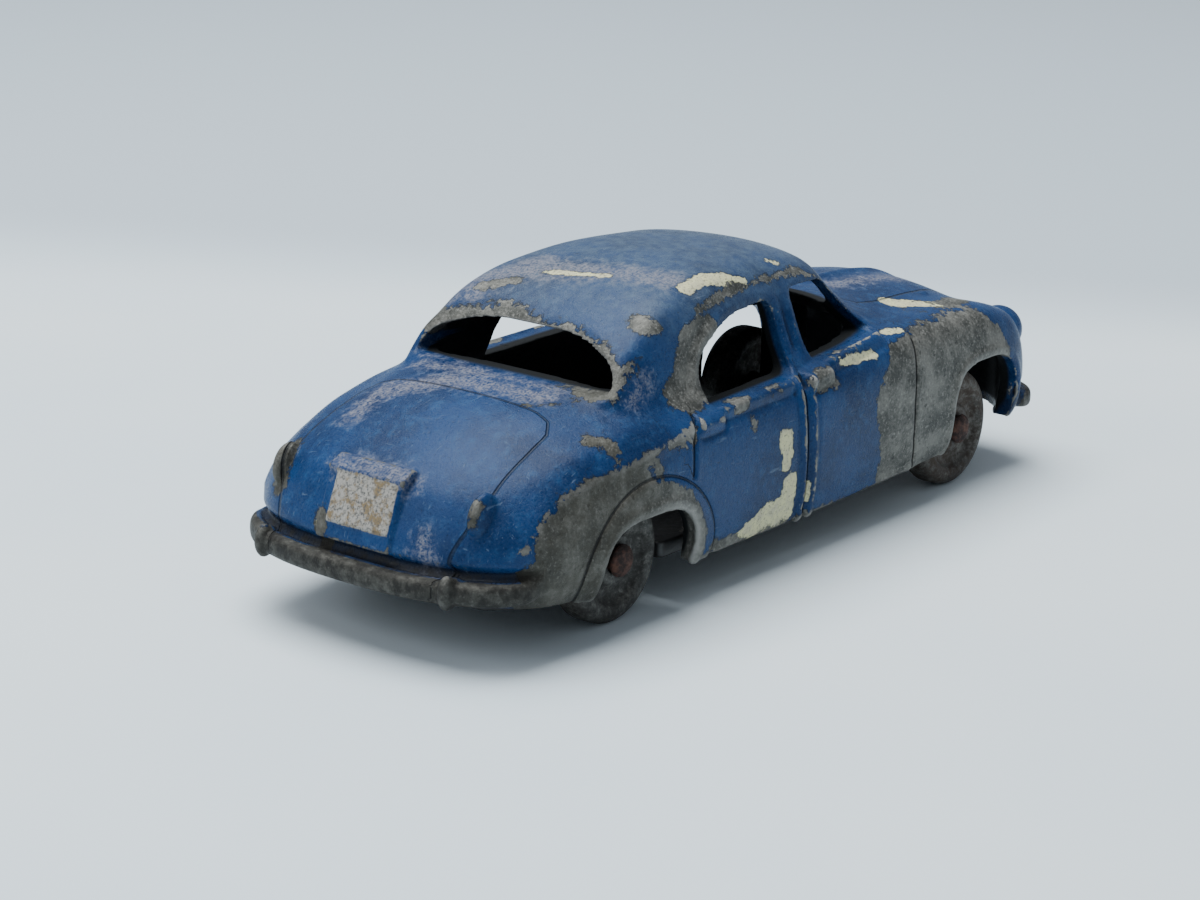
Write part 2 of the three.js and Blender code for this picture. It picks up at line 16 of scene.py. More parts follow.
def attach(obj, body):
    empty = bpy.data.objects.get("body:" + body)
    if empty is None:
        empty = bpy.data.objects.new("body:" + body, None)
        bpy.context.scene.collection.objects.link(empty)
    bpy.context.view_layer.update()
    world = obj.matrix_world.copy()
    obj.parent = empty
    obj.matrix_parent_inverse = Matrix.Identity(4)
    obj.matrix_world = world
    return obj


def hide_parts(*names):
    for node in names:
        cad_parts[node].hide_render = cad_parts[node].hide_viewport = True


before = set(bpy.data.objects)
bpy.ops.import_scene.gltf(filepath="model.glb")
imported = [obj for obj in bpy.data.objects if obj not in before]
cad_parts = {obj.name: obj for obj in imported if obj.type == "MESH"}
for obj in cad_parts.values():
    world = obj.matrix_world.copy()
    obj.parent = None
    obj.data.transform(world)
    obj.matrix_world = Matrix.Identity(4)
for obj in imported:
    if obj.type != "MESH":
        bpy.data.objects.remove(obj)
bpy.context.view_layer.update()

# ---- Body casting ----
# The real body is one hollow zinc pressure casting, about 1.2 mm thick, open below, with the
# windows left unglazed. Bumpers, lamps and the plate housing are cast in one with it.
MM = 0.001
TAIL_X = -32.55
NOSE_X = 32.55
REAR_AXLE_X = -17.85
FRONT_AXLE_X = 21.35
AXLE_Z = 4.2
AXLE_BORE = 0.87
WHEEL_RADIUS = 4.2
# The wheel wells: how far out they begin, and how far past the wheel's outer face they go.
WELL_INNER = 6.6
WELL_ROOM = 0.35
HALF_WIDTH = 11.6
WALL = 1.2
RIVETS_X = (-22.75, 24.42)
# Each axle's end of the car, place along it, and distance over the wheels' outer faces.
AXLES = (("rear", REAR_AXLE_X, 19.6), ("front", FRONT_AXLE_X, 20.2))
BUMPER_REACH = 1.1
END_LEVEL = 6.4
BODY_TAIL = TAIL_X + BUMPER_REACH
BODY_NOSE = NOSE_X - BUMPER_REACH
TAIL_PLAN = (6.5, 2.6)
NOSE_PLAN = (5.2, 3.2)
PROFILE_ROUND = (1.9, 2.2)
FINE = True

# Eight control lines run from tail to nose on each side, each point (x, distance out, height).
LINES_START = -0.65
LINES = {
    "sill": ((-30.8, 10.6, 4.3), (-26, 10.8, 3.6), (-20, 10.8, 3.0), (-8, 10.9, 2.8),
             (8, 10.9, 2.9), (16, 10.9, 3.1), (24.5, 10.8, 3.6), (32.1, 10.2, 4.3)),
    "flank": ((-30.8, 11.3, 5.2), (-26, 11.5, 4.6), (-20, 11.6, 4.3), (0, 11.6, 4.4),
              (16, 11.6, 4.5), (24.5, 11.5, 4.8), (32.1, 11.0, 5.4)),
    "waist": ((-30.8, 10.9, 6.8), (-28.5, 11.2, 7.4), (-25, 11.5, 8.1), (-20, 11.75, 8.5),
              (0, 11.7, 8.5), (16, 11.7, 8.8), (24.5, 11.6, 8.8), (32.1, 11.2, 7.8)),
    "shoulder": ((-30.8, 8.6, 7.2), (-28.5, 9.1, 8.9), (-25, 9.9, 10.7), (-21, 10.6, 11.9),
                 (-16, 11.0, 12.5), (-10, 11.2, 12.3), (0, 11.2, 12.3), (12, 11.2, 12.9),
                 (19, 10.9, 13.2), (24.5, 10.7, 13.1), (28.4, 10.4, 12.2), (32.1, 9.8, 9.9)),
    "valley": ((-30.8, 7.0, 7.6), (-28.5, 7.4, 9.9), (-25, 8.0, 11.4), (-21, 8.5, 12.4),
               (-16, 8.9, 13.0), (-10, 8.9, 12.9), (0, 8.9, 12.9), (9, 8.8, 13.2),
               (14, 8.2, 13.3), (19, 7.2, 13.1), (24.5, 6.8, 12.6), (28.4, 6.4, 11.6),
               (32.1, 6.0, 9.4)),
    "cant": ((-30.8, 5.4, 7.8), (-28.5, 5.6, 10.4), (-25, 6.2, 12.1), (-21, 6.6, 13.3),
             (-17.2, 7.6, 13.9), (-14.9, 8.4, 16.1), (-11.5, 8.5, 17.9), (-8, 8.2, 18.6),
             (-3, 7.7, 18.8), (3, 7.4, 18.6), (7.4, 7.3, 17.9), (9.5, 7.2, 16.3),
             (12.8, 7.0, 14.2), (15, 6.2, 13.9), (20, 5.2, 13.7), (24.5, 4.8, 13.2),
             (28.4, 4.4, 12.0), (32.1, 4.0, 9.6)),
    "crown": ((-30.8, 3.0, 8.0), (-28.5, 3.2, 10.7), (-25, 3.6, 12.5), (-21, 4.0, 13.7),
              (-16.8, 4.9, 14.3), (-14.4, 5.7, 16.6), (-11.5, 6.0, 18.4), (-8, 5.8, 19.5),
              (-3, 5.4, 20.0), (3, 4.9, 19.7), (7.8, 4.9, 18.7), (10.5, 4.6, 16.9),
              (14, 4.0, 14.5), (16.5, 3.6, 14.2), (20, 3.0, 14.1), (24.5, 2.8, 13.6),
              (28.4, 2.6, 12.3), (32.1, 2.4, 9.8)),
    "centre": ((-30.8, 0, 8.0), (-28.5, 0, 10.8), (-25, 0, 12.6), (-21, 0, 13.8),
               (-16.6, 0, 14.4), (-14.2, 0, 16.5), (-11.5, 0, 18.3), (-8, 0, 19.5),
               (-3, 0, 20.1), (3, 0, 19.9), (8, 0, 19.1), (11, 0, 17.2), (14.6, 0, 14.7),
               (17, 0, 14.4), (20, 0, 14.3), (24.5, 0, 13.8), (28.4, 0, 12.5), (32.1, 0, 9.9)),
}

# How far each line moves in and down for the inside of the wall, as shares of WALL.
INWARD = {"sill": (1, 0), "flank": (1, 0), "waist": (1, 0), "shoulder": (0.9, 0.7),
          "valley": (0.7, 0.9), "cant": (0.9, 0.6), "crown": (0.3, 1), "centre": (0, 1)}


def smooth_line(points, column, x):
    """Value of a control line at x, on a curve with no overshoot (monotone cubic)."""
    last = len(points) - 1
    if x <= points[0][0]:
        return points[0][column]
    if x >= points[last][0]:
        return points[last][column]

    def slope(i):
        return (points[i + 1][column] - points[i][column]) / (points[i + 1][0] - points[i][0])

    def tangent(i):
        if i in (0, last):
            return slope(min(i, last - 1))
        before, after = slope(i - 1), slope(i)
        return 0 if before * after <= 0 else 2 * before * after / (before + after)

    i = next(k for k, p in enumerate(points) if p[0] > x) - 1
    span = points[i + 1][0] - points[i][0]
    t = (x - points[i][0]) / span
    return (points[i][column] * (1 + 2 * t) * (1 - t) ** 2
            + points[i + 1][column] * t * t * (3 - 2 * t)
            + span * (tangent(i) * t * (1 - t) ** 2 - tangent(i + 1) * t * t * (1 - t)))


def end_share(depth, plan):
    """How much of the width or height is left this deep into a rounded end."""
    length, power = plan
    past = min(max(1 - depth / length, 0), 1)
    return (1 - past ** power) ** (1 / power)


def section_controls(x, inset):
    """Control points of the cross-section at x, right sill to left sill, the ends tripled."""
    tail, nose = BODY_TAIL + inset, BODY_NOSE - inset
    wide = end_share(x - tail, TAIL_PLAN) * end_share(nose - x, NOSE_PLAN)
    high = end_share(x - tail, PROFILE_ROUND) * end_share(nose - x, PROFILE_ROUND)
    drawn = BODY_TAIL + (x - tail) * (BODY_NOSE - BODY_TAIL) / (nose - tail) - LINES_START
    half = []
    for name, line in LINES.items():
        out = smooth_line(line, 1, drawn) - inset * INWARD[name][0]
        up = smooth_line(line, 2, drawn) - inset * INWARD[name][1]
        below = 2 if name == "sill" and inset else 0
        half.append((out * wide, END_LEVEL + (up - below - END_LEVEL) * high))
    half[-1] = (0, half[-1][1])
    right = [(-y, z) for y, z in half]
    ring = right + half[-2::-1]
    return [ring[0]] * 2 + ring + [ring[-1]] * 2


def on_section(controls, share):
    """Point of the cross-section's curve (uniform cubic B-spline) at this share of its length."""
    s = min(share * (len(controls) - 3), len(controls) - 3 - 1e-9)
    k = int(s)
    t = s - k
    weights = ((1 - t) ** 3, 3 * t ** 3 - 6 * t * t + 4, -3 * t ** 3 + 3 * t * t + 3 * t + 1, t ** 3)
    y = sum(w * controls[k + j][0] for j, w in enumerate(weights)) / 6
    z = sum(w * controls[k + j][1] for j, w in enumerate(weights)) / 6
    return y, z


def shaped_grid(along, around, place):
    """A flat grid with each point moved to place(u, v), where u and v run from 0 to 1."""
    bm = bmesh.new()
    bmesh.ops.create_grid(bm, x_segments=along, y_segments=around, size=0.5)
    for v in bm.verts:
        v.co = place(v.co.x + 0.5, v.co.y + 0.5)
    bmesh.ops.remove_doubles(bm, verts=bm.verts, dist=1e-4)
    bmesh.ops.recalc_face_normals(bm, faces=bm.faces)
    return bm


# Share of a section's points that go over the car; the rest close it underneath.
OVER_SHARE = 0.92


def loft(inset, along, around):
    """Closed form through the cross-sections: over the car from the right sill to the left, and
    straight back across underneath."""
    stations = {}

    def place(u, v):
        if u not in stations:
            packed = 0.5 - 0.5 * math.cos(math.pi * u)
            x = BODY_TAIL + inset + (BODY_NOSE - BODY_TAIL - 2 * inset) * (0.5 * packed + 0.5 * u)
            stations[u] = (x, section_controls(x, inset))
        x, controls = stations[u]
        if v <= OVER_SHARE:
            return Vector((x, *on_section(controls, v / OVER_SHARE)))
        y, z = on_section(controls, 1)
        return Vector((x, y * (1 - 2 * (v - OVER_SHARE) / (1 - OVER_SHARE)), z))

    return shaped_grid(along, around, place)


def mesh_object(name, bm):
    """Object from a bmesh, which is then freed."""
    mesh = bpy.data.meshes.new(name)
    bm.to_mesh(mesh)
    bm.free()
    obj = bpy.data.objects.new(name, mesh)
    bpy.context.scene.collection.objects.link(obj)
    return obj


def placed(name, bm, spot, angle=0.0, axis="Y"):
    """Object from a bmesh that is turned about an axis and then moved to its spot."""
    bmesh.ops.rotate(bm, verts=bm.verts, matrix=Matrix.Rotation(angle, 3, axis))
    bmesh.ops.translate(bm, verts=bm.verts, vec=spot)
    return mesh_object(name, bm)


def modify(obj, kind, **settings):
    """Adds a modifier to obj and applies it."""
    modifier = obj.modifiers.new(kind.title(), kind)
    for key, value in settings.items():
        setattr(modifier, key, value)
    graph = bpy.context.evaluated_depsgraph_get()
    mesh = bpy.data.meshes.new_from_object(obj.evaluated_get(graph))
    obj.modifiers.clear()
    old = obj.data
    obj.data = mesh
    bpy.data.meshes.remove(old)


def cut_away(obj, pieces):
    """Takes the shapes of pieces out of obj."""
    cutter = joined(pieces, "cutter")
    modify(obj, "BOOLEAN", operation="DIFFERENCE", object=cutter, solver="MANIFOLD")
    bpy.data.objects.remove(cutter)


def joined(pieces, name):
    """One object from several, kept as separate closed shapes inside it."""
    bm = bmesh.new()
    for piece in pieces:
        bm.from_mesh(piece.data)
        bpy.data.objects.remove(piece)
    return mesh_object(name, bm)


def bend(start, corner, end, shares):
    """Points of a short curve from start to end that turns at the corner between them."""
    return [tuple(start * (1 - t) ** 2 + corner * 2 * t * (1 - t) + end * t * t) for t in shares]


def curved_outline(corners):
    """Flat outline through corners (a, b, radius), each turned into a short curve."""
    out = []
    for i, (a, b, radius) in enumerate(corners):
        here = Vector((a, b))
        before = Vector(corners[i - 1][:2]) - here
        after = Vector(corners[(i + 1) % len(corners)][:2]) - here
        start = here + before.normalized() * radius
        end = here + after.normalized() * radius
        out += bend(start, here, end, (0, 0.17, 0.33, 0.5, 0.67, 0.83, 1))
    return out


def rounded_prism(name, corners, place, near, far):
    """Closed prism: corners are (a, b, corner radius), and place(a, b, depth) is a point."""
    bm = bmesh.new()
    bm.faces.new([bm.verts.new(place(a, b, near)) for a, b in curved_outline(corners)])
    push = Vector(place(0, 0, far)) - Vector(place(0, 0, near))
    sides = bmesh.ops.extrude_face_region(bm, geom=list(bm.faces))["geom"]
    moved = [v for v in sides if isinstance(v, bmesh.types.BMVert)]
    bmesh.ops.translate(bm, vec=push, verts=moved)
    bmesh.ops.recalc_face_normals(bm, faces=bm.faces)
    return mesh_object(name, bm)


def side_view(a, b, depth):
    return (a, depth, b)


def end_view(a, b, depth):
    return (depth, a, b)


# Openings as (x or y, height, corner radius).
REAR_SIDE_WINDOW = ((-9.15, 12.2, 0.5), (0.55, 12.4, 1.1), (0.55, 17.1, 0.9), (-4.55, 17.0, 2.0),
                    (-8.85, 15.0, 1.6))
FRONT_SIDE_WINDOW = ((2.95, 12.7, 0.7), (11.35, 13.2, 0.8), (7.45, 17.2, 0.9), (2.95, 17.4, 0.7))
REAR_WINDOW = ((-8.0, 14.2, 0.5), (8.0, 14.2, 0.5), (7.5, 15.7, 1.1), (4.2, 16.85, 1.8),
               (-4.2, 16.85, 1.8), (-7.5, 15.7, 1.1))
WINDSCREEN = ((-6.3, 14.9, 0.8), (6.3, 14.9, 0.8), (5.9, 17.2, 1.0), (-5.9, 17.2, 1.0))
REAR_WINDOW_DEPTH = -9.65
WINDSCREEN_DEPTH = 6.35
FRONT_ARCH = {"middle": FRONT_AXLE_X + 1.5, "half": 4.4, "top": 9.3, "corner": 3.4}
REAR_ARCH = {"middle": REAR_AXLE_X + 1.0, "half": 4.9, "top": 7.3, "corner": 3.6}


def both_sides(name, corners, inner):
    return [rounded_prism(name, corners, side_view, side * inner, side * (HALF_WIDTH + 1.5))
            for side in (1, -1)]


def arch_corners(arch):
    back, front = arch["middle"] - arch["half"], arch["middle"] + arch["half"]
    return ((back, 0, 0.3), (front, 0, 0.3), (front, arch["top"], arch["corner"]),
            (back, arch["top"], arch["corner"]))


def drum(name, x, z, radius, y0, y1):
    """Short cylinder lying along Y."""
    bm = bmesh.new()
    bmesh.ops.create_cone(bm, cap_ends=True, segments=64, radius1=radius, radius2=radius,
                          depth=abs(y1 - y0))
    return placed(name, bm, (x, (y0 + y1) / 2, z), math.pi / 2, "X")


def slab(name, centre, size, round_edge, tilt=0):
    """Block with rounded edges, tilted about Y."""
    bm = bmesh.new()
    bmesh.ops.create_cube(bm, size=1)
    bmesh.ops.scale(bm, verts=bm.verts, vec=size)
    bmesh.ops.bevel(bm, geom=list(bm.edges), offset=round_edge, offset_type="OFFSET",
                    affect="EDGES", segments=4, profile=0.5, material=-1)
    return placed(name, bm, centre, math.radians(tilt))


def bead(name, centre, radii, tilt=0):
    """Egg-shaped boss, tilted about Y."""
    bm = bmesh.new()
    bmesh.ops.create_uvsphere(bm, u_segments=32, v_segments=20, radius=1)
    bmesh.ops.scale(bm, verts=bm.verts, vec=radii)
    return placed(name, bm, centre, math.radians(tilt))


BUMPER_LEVEL = 4.2
BUMPER_HEIGHT = 1.5
BUMPER_WRAP = 0.86


def bumper_plan(end, grow, half, turn):
    """Point of the bumper's plan curve: turn -1 to 1 runs from the right side to the left."""
    length, power = NOSE_PLAN if end > 0 else TAIL_PLAN
    angle = turn * math.pi / 2
    body_end = BODY_NOSE if end > 0 else -BODY_TAIL
    x = body_end - length + (length + grow) * math.cos(angle) ** (2 / power)
    y = half * abs(math.sin(angle)) ** (2 / power) * (1 if turn > 0 else -1)
    return end * x, y


def bumper_bar(end):
    """Rounded bar that follows the end of the body and runs into it at both sides."""
    def place(u, v):
        turn = (2 * u - 1) * BUMPER_WRAP
        angle = v * 2 * math.pi
        across = math.copysign(abs(math.cos(angle)) ** 0.6, math.cos(angle))
        upward = math.copysign(abs(math.sin(angle)) ** 0.6, math.sin(angle))
        thick = (1 - abs(2 * u - 1) ** 14) ** 0.5
        face = Vector(bumper_plan(end, BUMPER_REACH, HALF_WIDTH + 0.2, turn))
        back = Vector(bumper_plan(end, -0.9, HALF_WIDTH - 1.2, turn))
        flat = (face + back) / 2 + (face - back) / 2 * across * thick
        z = BUMPER_LEVEL + BUMPER_HEIGHT / 2 * (1 + upward * thick)
        return Vector((flat.x, flat.y, z))

    return mesh_object("bumper_bar", shaped_grid(160, 32, place))


shell_form = loft(0, 260, 140)
shell_form.normal_update()
skin_tree = KDTree(len(shell_form.verts))
skin_normals = []
for i, v in enumerate(shell_form.verts):
    skin_tree.insert(v.co, i)
    skin_normals.append(v.normal.copy())
skin_tree.balance()

body = mesh_object("body_shell_casting", shell_form)
cut_away(body, [mesh_object("hollow", loft(WALL, 160, 110))])

side_cuts = [piece for corners, inner in (
    (REAR_SIDE_WINDOW, 4), (FRONT_SIDE_WINDOW, 4),
    (arch_corners(FRONT_ARCH), WELL_INNER), (arch_corners(REAR_ARCH), WELL_INNER),
) for piece in both_sides("side_cut", corners, inner)]
end_cuts = [
    rounded_prism("rear_window_cut", REAR_WINDOW, end_view, TAIL_X, REAR_WINDOW_DEPTH),
    rounded_prism("windscreen_cut", WINDSCREEN, end_view, WINDSCREEN_DEPTH, NOSE_X),
]
wheel_rooms = [drum("wheel_room", x, AXLE_Z, WHEEL_RADIUS + 0.4, side * WELL_INNER,
                    side * (track / 2 + WELL_ROOM))
               for _, x, track in AXLES for side in (1, -1)]
for cutters in (side_cuts, end_cuts, wheel_rooms):
    cut_away(body, cutters)

# Cast-on details: plate housing with its plate, tail lamps, headlamps, grille, lugs and bosses.
HOUSING = ((-28.2, 11.1, 0.3), (-29.75, 11.0, 0.2), (-30.35, 10.1, 0.2), (-31.4, 7.4, 0.4),
           (-31.75, 6.3, 0.3), (-30.0, 5.9, 0.3), (-28.6, 7.0, 0.3))
details = [bumper_bar(1), bumper_bar(-1)]
details.append(rounded_prism("plate_housing", HOUSING, side_view, -2.95, 2.95))
details.append(slab("plate_hood", (-29.65, 0, 10.75), (1.5, 6.1, 0.45), 0.15, tilt=-24))
details.append(slab("number_plate", (-30.75, -0.25, 8.95), (0.4, 4.9, 3.1), 0.1, tilt=22))
for side in (1, -1):
    details.append(bead("tail_lamp", (-28.75, side * 7.9, 9.3), (1.15, 0.6, 1.45), tilt=28))
    details.append(bead("headlamp", (29.6, side * 8.1, 9.6), (1.9, 1.8, 1.8)))
    details.append(bead("fog_lamp", (31.0, side * 5.6, 7.6), (0.8, 0.9, 0.9)))
    for end in (1, -1):
        x, y = bumper_plan(end, BUMPER_REACH, HALF_WIDTH, 0.38)
        details.append(bead("overrider", (x - end * 0.15, side * y, 5.05), (0.7, 0.55, 1.1)))
        details.append(slab("overrider_foot", (x - end * 1.0, side * y, 5.0), (1.6, 0.8, 1.7), 0.3))
    for x in (REAR_AXLE_X, FRONT_AXLE_X):
        details.append(slab("lug", (x, side * 5.2, 8.6), (4.4, 1.3, 9.2), 0.2))
for x in RIVETS_X:
    bm = bmesh.new()
    bmesh.ops.create_cone(bm, cap_ends=True, segments=32, radius1=1.7, radius2=1.9, depth=9.1)
    details.append(placed("rivet_boss", bm, (x, 0, 8.45)))
GRILLE_BARS = 9
for i in range(GRILLE_BARS):
    y = (i - (GRILLE_BARS - 1) / 2) * 0.62
    reach = 1.9 * math.sqrt(1 - (y / 3.1) ** 2)
    details.append(bead("grille_bar", (31.25, y, 9.0), (0.42, 0.19, reach), tilt=-14))
body = joined([body] + details, "body_shell_casting")

VOXEL = 0.11 if FINE else 0.17
modify(body, "REMESH", mode="VOXEL", voxel_size=VOXEL, use_smooth_shade=True)
modify(body, "SMOOTH", factor=0.5, iterations=8 if FINE else 4)


def rows(items, field):
    """A field of three numbers of every item, as an array with a row for each."""
    flat = np.empty(len(items) * 3)
    items.foreach_get(field, flat)
    return flat.reshape(-1, 3)


def read_points(mesh):
    return rows(mesh.vertices, "co")


def read_normals(mesh):
    return rows(mesh.vertex_normals, "vector")


def nearer(a, b):
    """Of two signed distances, the one nearer to 0."""
    return np.where(np.abs(a) < np.abs(b), a, b)


def signed_distance(a, b, path):
    """Distance in a flat view to an open path of straight stretches, negative on its right."""
    nearest = np.full(len(a), 1e9)
    for (a0, b0), (a1, b1) in zip(path, path[1:]):
        run = (a1 - a0) ** 2 + (b1 - b0) ** 2
        t = np.clip(((a - a0) * (a1 - a0) + (b - b0) * (b1 - b0)) / run, 0, 1)
        far = np.hypot(a - a0 - t * (a1 - a0), b - b0 - t * (b1 - b0))
        on_left = (a1 - a0) * (b - b0) - (b1 - b0) * (a - a0) > 0
        nearest = nearer(np.where(on_left, far, -far), nearest)
    return nearest


def distance_to_path(a, b, path):
    return np.abs(signed_distance(a, b, path))


def inside_outline(a, b, outline):
    """True where the flat point (a, b) is inside a closed outline."""
    inside = np.zeros(len(a), bool)
    for (a0, b0), (a1, b1) in zip(outline, outline[1:] + outline[:1]):
        if b0 != b1:
            crosses = (b0 > b) != (b1 > b)
            inside ^= crosses & (a < (a1 - a0) * (b - b0) / (b1 - b0) + a0)
    return inside


def depth_in_outline(a, b, outline):
    """Distance to a closed outline, positive inside it and negative outside."""
    far = distance_to_path(a, b, outline + outline[:1])
    return np.where(inside_outline(a, b, outline), far, -far)


def bell(distance, half_width):
    """Rounded ridge or groove profile: 1 on the line, falling to 0 past the half-width."""
    return np.exp(-(distance / half_width) ** 2)


# Shut lines and mouldings, drawn on the side view as (x, z) or the top view as (x, y).
REAR_DOOR_EDGE = [(-11.5, 12.2), (-12.3, 10.8), (-12.5, 9.6), (-12.6, 8.8)]
FRONT_DOOR_EDGE = [(13.6, 12.4), (13.3, 10.5), (13.1, 8.0), (13.2, 5.5), (13.8, 3.2)]
CENTRE_POST = [(0.6, 12.3), (0.3, 11.6), (0.1, 10.0), (0.1, 6.0), (0.4, 2.6)]
REAR_WAIST = [(-11.3, 11.95), (-7.0, 12.0), (-0.9, 12.1)]
FRONT_WAIST = [(1.0, 12.2), (5.0, 12.6), (10.5, 13.1)]
REAR_HANDLE = [(-11.2, 11.45), (-9.2, 11.5)]
FRONT_HANDLE = [(1.2, 11.75), (3.4, 11.95)]
SILL_EDGE = [(-9.0, 3.15), (0, 3.15), (13.8, 3.35)]
BOOT_EDGE = [(-21.0, 0), (-21.0, 5.6), (-21.3, 6.8), (-22.3, 7.5), (-24.5, 7.7), (-28.0, 7.9),
             (-29.6, 7.5), (-30.6, 6.9), (-31.6, 6.6)]
BONNET_EDGE = [(13.4, 0), (13.4, 4.6), (14.2, 5.6), (16.5, 5.8), (22.0, 5.3), (27.5, 4.7), (31, 4.2)]
FENDER_CREST = [(-11.9, 11.7), (-15.3, 11.35), (-18, 10.9), (-21.4, 10.6), (-24.8, 9.9),
                (-26.5, 9.0), (-28, 7.4)]
SPAT = {"x": -16.8, "z": 3.0, "along": 6.8, "up": 6.45}


def off_spat(x, z):
    """About how far a point of the side view lies outside the oval panel over the rear wheel."""
    ring = np.hypot((x - SPAT["x"]) / SPAT["along"], (z - SPAT["z"]) / SPAT["up"])
    return (ring - 1) * SPAT["up"]


def line_relief(p, n):
    """How far each point of the outer skin is pushed out, in millimetres."""
    x, y, z = p.T
    push = np.zeros(len(p))
    on_side = np.clip((np.abs(y) - 7.2) / 1.0, 0, 1) * np.clip((np.abs(n[:, 1]) - 0.1) / 0.2, 0, 1)
    from_above = np.clip((n[:, 2] - 0.05) / 0.2, 0, 1)
    from_ends = np.clip((np.abs(n[:, 0]) - 0.25) / 0.2, 0, 1)
    for path in (REAR_DOOR_EDGE, FRONT_DOOR_EDGE):
        far = distance_to_path(x, z, path)
        push += on_side * (0.07 * bell(far, 0.5) - 0.2 * bell(far, 0.2))
    post = distance_to_path(x, z, CENTRE_POST)
    push += on_side * np.clip((12.7 - z) / 0.9, 0, 1) * (
        0.2 * bell(post - 0.62, 0.3) - 0.2 * bell(post, 0.22) - 0.06 * bell(post - 1.15, 0.2))
    for path in (REAR_WAIST, FRONT_WAIST):
        far = distance_to_path(x, z, path)
        push += on_side * (0.26 * bell(far, 0.28) - 0.1 * bell(far - 0.55, 0.2))
    for path in (REAR_HANDLE, FRONT_HANDLE):
        far = distance_to_path(x, z, path)
        push += on_side * (0.42 * bell(far, 0.3) - 0.1 * bell(far - 0.6, 0.2))
    push += on_side * 0.16 * bell(distance_to_path(x, z, SILL_EDGE), 0.3)
    ring = off_spat(x, z)
    push += on_side * (0.16 / (1 + np.exp(ring / 0.12)) - 0.1 * bell(ring - 0.1, 0.18))
    for arch in (FRONT_ARCH, REAR_ARCH):
        edge = -depth_in_outline(x, z, curved_outline(arch_corners(arch)))
        push += on_side * 0.14 * bell(edge - 0.45, 0.35)
    for window in (REAR_SIDE_WINDOW, FRONT_SIDE_WINDOW):
        edge = -depth_in_outline(x, z, curved_outline(window))
        rail = np.clip((z - 13.2) / 0.8, 0, 1)
        push += on_side * rail * 0.14 * bell(edge - 0.55, 0.3)
        push -= on_side * rail * 0.08 * bell(edge - 1.25, 0.25)
    behind = x < REAR_WINDOW_DEPTH
    edge = -depth_in_outline(y, z, curved_outline(REAR_WINDOW))
    push += from_ends * behind * 0.12 * bell(edge - 0.5, 0.35)
    push -= from_ends * (np.abs(x) > 27) * 0.45 * bell(z - 6.0, 0.35)
    push += on_side * (x < -11) * 0.15 * bell(distance_to_path(x, z, FENDER_CREST), 0.5)
    push += from_above * (x > 14) * 0.22 * bell(np.abs(y), 0.45)
    return push


def skin_depth(points):
    """How far each point lies under the outer skin of the shell."""
    depth = np.empty(len(points))
    for i, p in enumerate(points):
        near, index, _ = skin_tree.find(p)
        depth[i] = (near - Vector(p)).dot(skin_normals[index])
    return depth


points = read_points(body.data)
normals = read_normals(body.data)
candidates = np.flatnonzero((np.abs(points[:, 1]) < 12.5) & (points[:, 2] > 2.5))
depth = skin_depth(points[candidates])
chosen = candidates[np.abs(depth) < 0.35]
push = line_relief(points[chosen], normals[chosen])
points[chosen] += normals[chosen] * push[:, None]
body.data.vertices.foreach_set("co", points.ravel())
body.data.update()

# Edges and hollows: where the surface stands out from, or sits in from, a smoothed copy.
softened = body.copy()
softened.data = body.data.copy()
bpy.context.scene.collection.objects.link(softened)
modify(softened, "SMOOTH", factor=0.5, iterations=30 if FINE else 14)
stand_out = ((points - read_points(softened.data)) * read_normals(body.data)).sum(axis=1)
bpy.data.objects.remove(softened)


def store(mesh, name, values):
    """Keeps a number for each point on the mesh, for its material to read."""
    layer = mesh.attributes.get(name) or mesh.attributes.new(name, "FLOAT", "POINT")
    layer.data.foreach_set("value", np.asarray(values, np.float32))


crest = distance_to_path(points[:, 0], points[:, 2], FENDER_CREST)
stand_out += np.where(np.abs(points[:, 1]) > 8.5, 0.06 * bell(crest, 0.35), 0)
store(body.data, "edge", stand_out)
on_skin = np.zeros(len(points))
on_skin[chosen] = 1
store(body.data, "on_skin", on_skin)

# Fewer triangles where the skin is plain, then long edges split so that the wear keeps its shape.
BODY_FACES = 100000
LONGEST_EDGE = 0.6
modify(body, "DECIMATE", ratio=min(1, BODY_FACES / (2 * len(body.data.polygons))),
       use_collapse_triangulate=True)
even = bmesh.new()
even.from_mesh(body.data)
skin_layer = even.verts.layers.float["on_skin"]
for _ in range(3):
    long_edges = [e for e in even.edges if e.calc_length() > LONGEST_EDGE
                  and min(v[skin_layer] for v in e.verts) > 0.5]
    bmesh.ops.subdivide_edges(even, edges=long_edges, cuts=1)
    bmesh.ops.triangulate(even, faces=[f for f in even.faces if len(f.verts) > 3])
even.to_mesh(body.data)
even.free()

# Wear, patch by patch: outlines in the side view (x, z) on the right-hand side.
BARE_SIDE = [
    [(-12.6, 11.6), (-15.3, 11.4), (-18, 11.0), (-21.5, 10.75), (-24.9, 10.05), (-26.3, 9.0),
     (-27.4, 7.7), (-28.0, 6.1), (-28.4, 4.5), (-28.4, 1), (-10.8, 1), (-11.2, 4.5), (-12.2, 6.6),
     (-13.9, 8.5), (-16.4, 9.1), (-17.3, 10.4), (-15.8, 11.0), (-13.2, 10.9)],
    [(10.4, 12.2), (9.3, 10.5), (8.1, 9.4), (8.5, 7.2), (8.9, 4.8), (9.2, 1), (26.0, 1),
     (26.4, 6.5), (25.8, 9.6), (25.0, 11.3), (23.5, 12.7), (19, 13.0), (14.5, 12.9), (12, 12.6)],
    [(-6.5, 17.3), (-7.8, 17.5), (-9.6, 17.3), (-10.6, 16.3), (-11.2, 15.6), (-11.6, 14.8),
     (-12.9, 13.8), (-12.9, 12.9), (-11.6, 12.4), (-9.8, 12.7), (-7.5, 12.6), (-5.5, 16.0)],
]
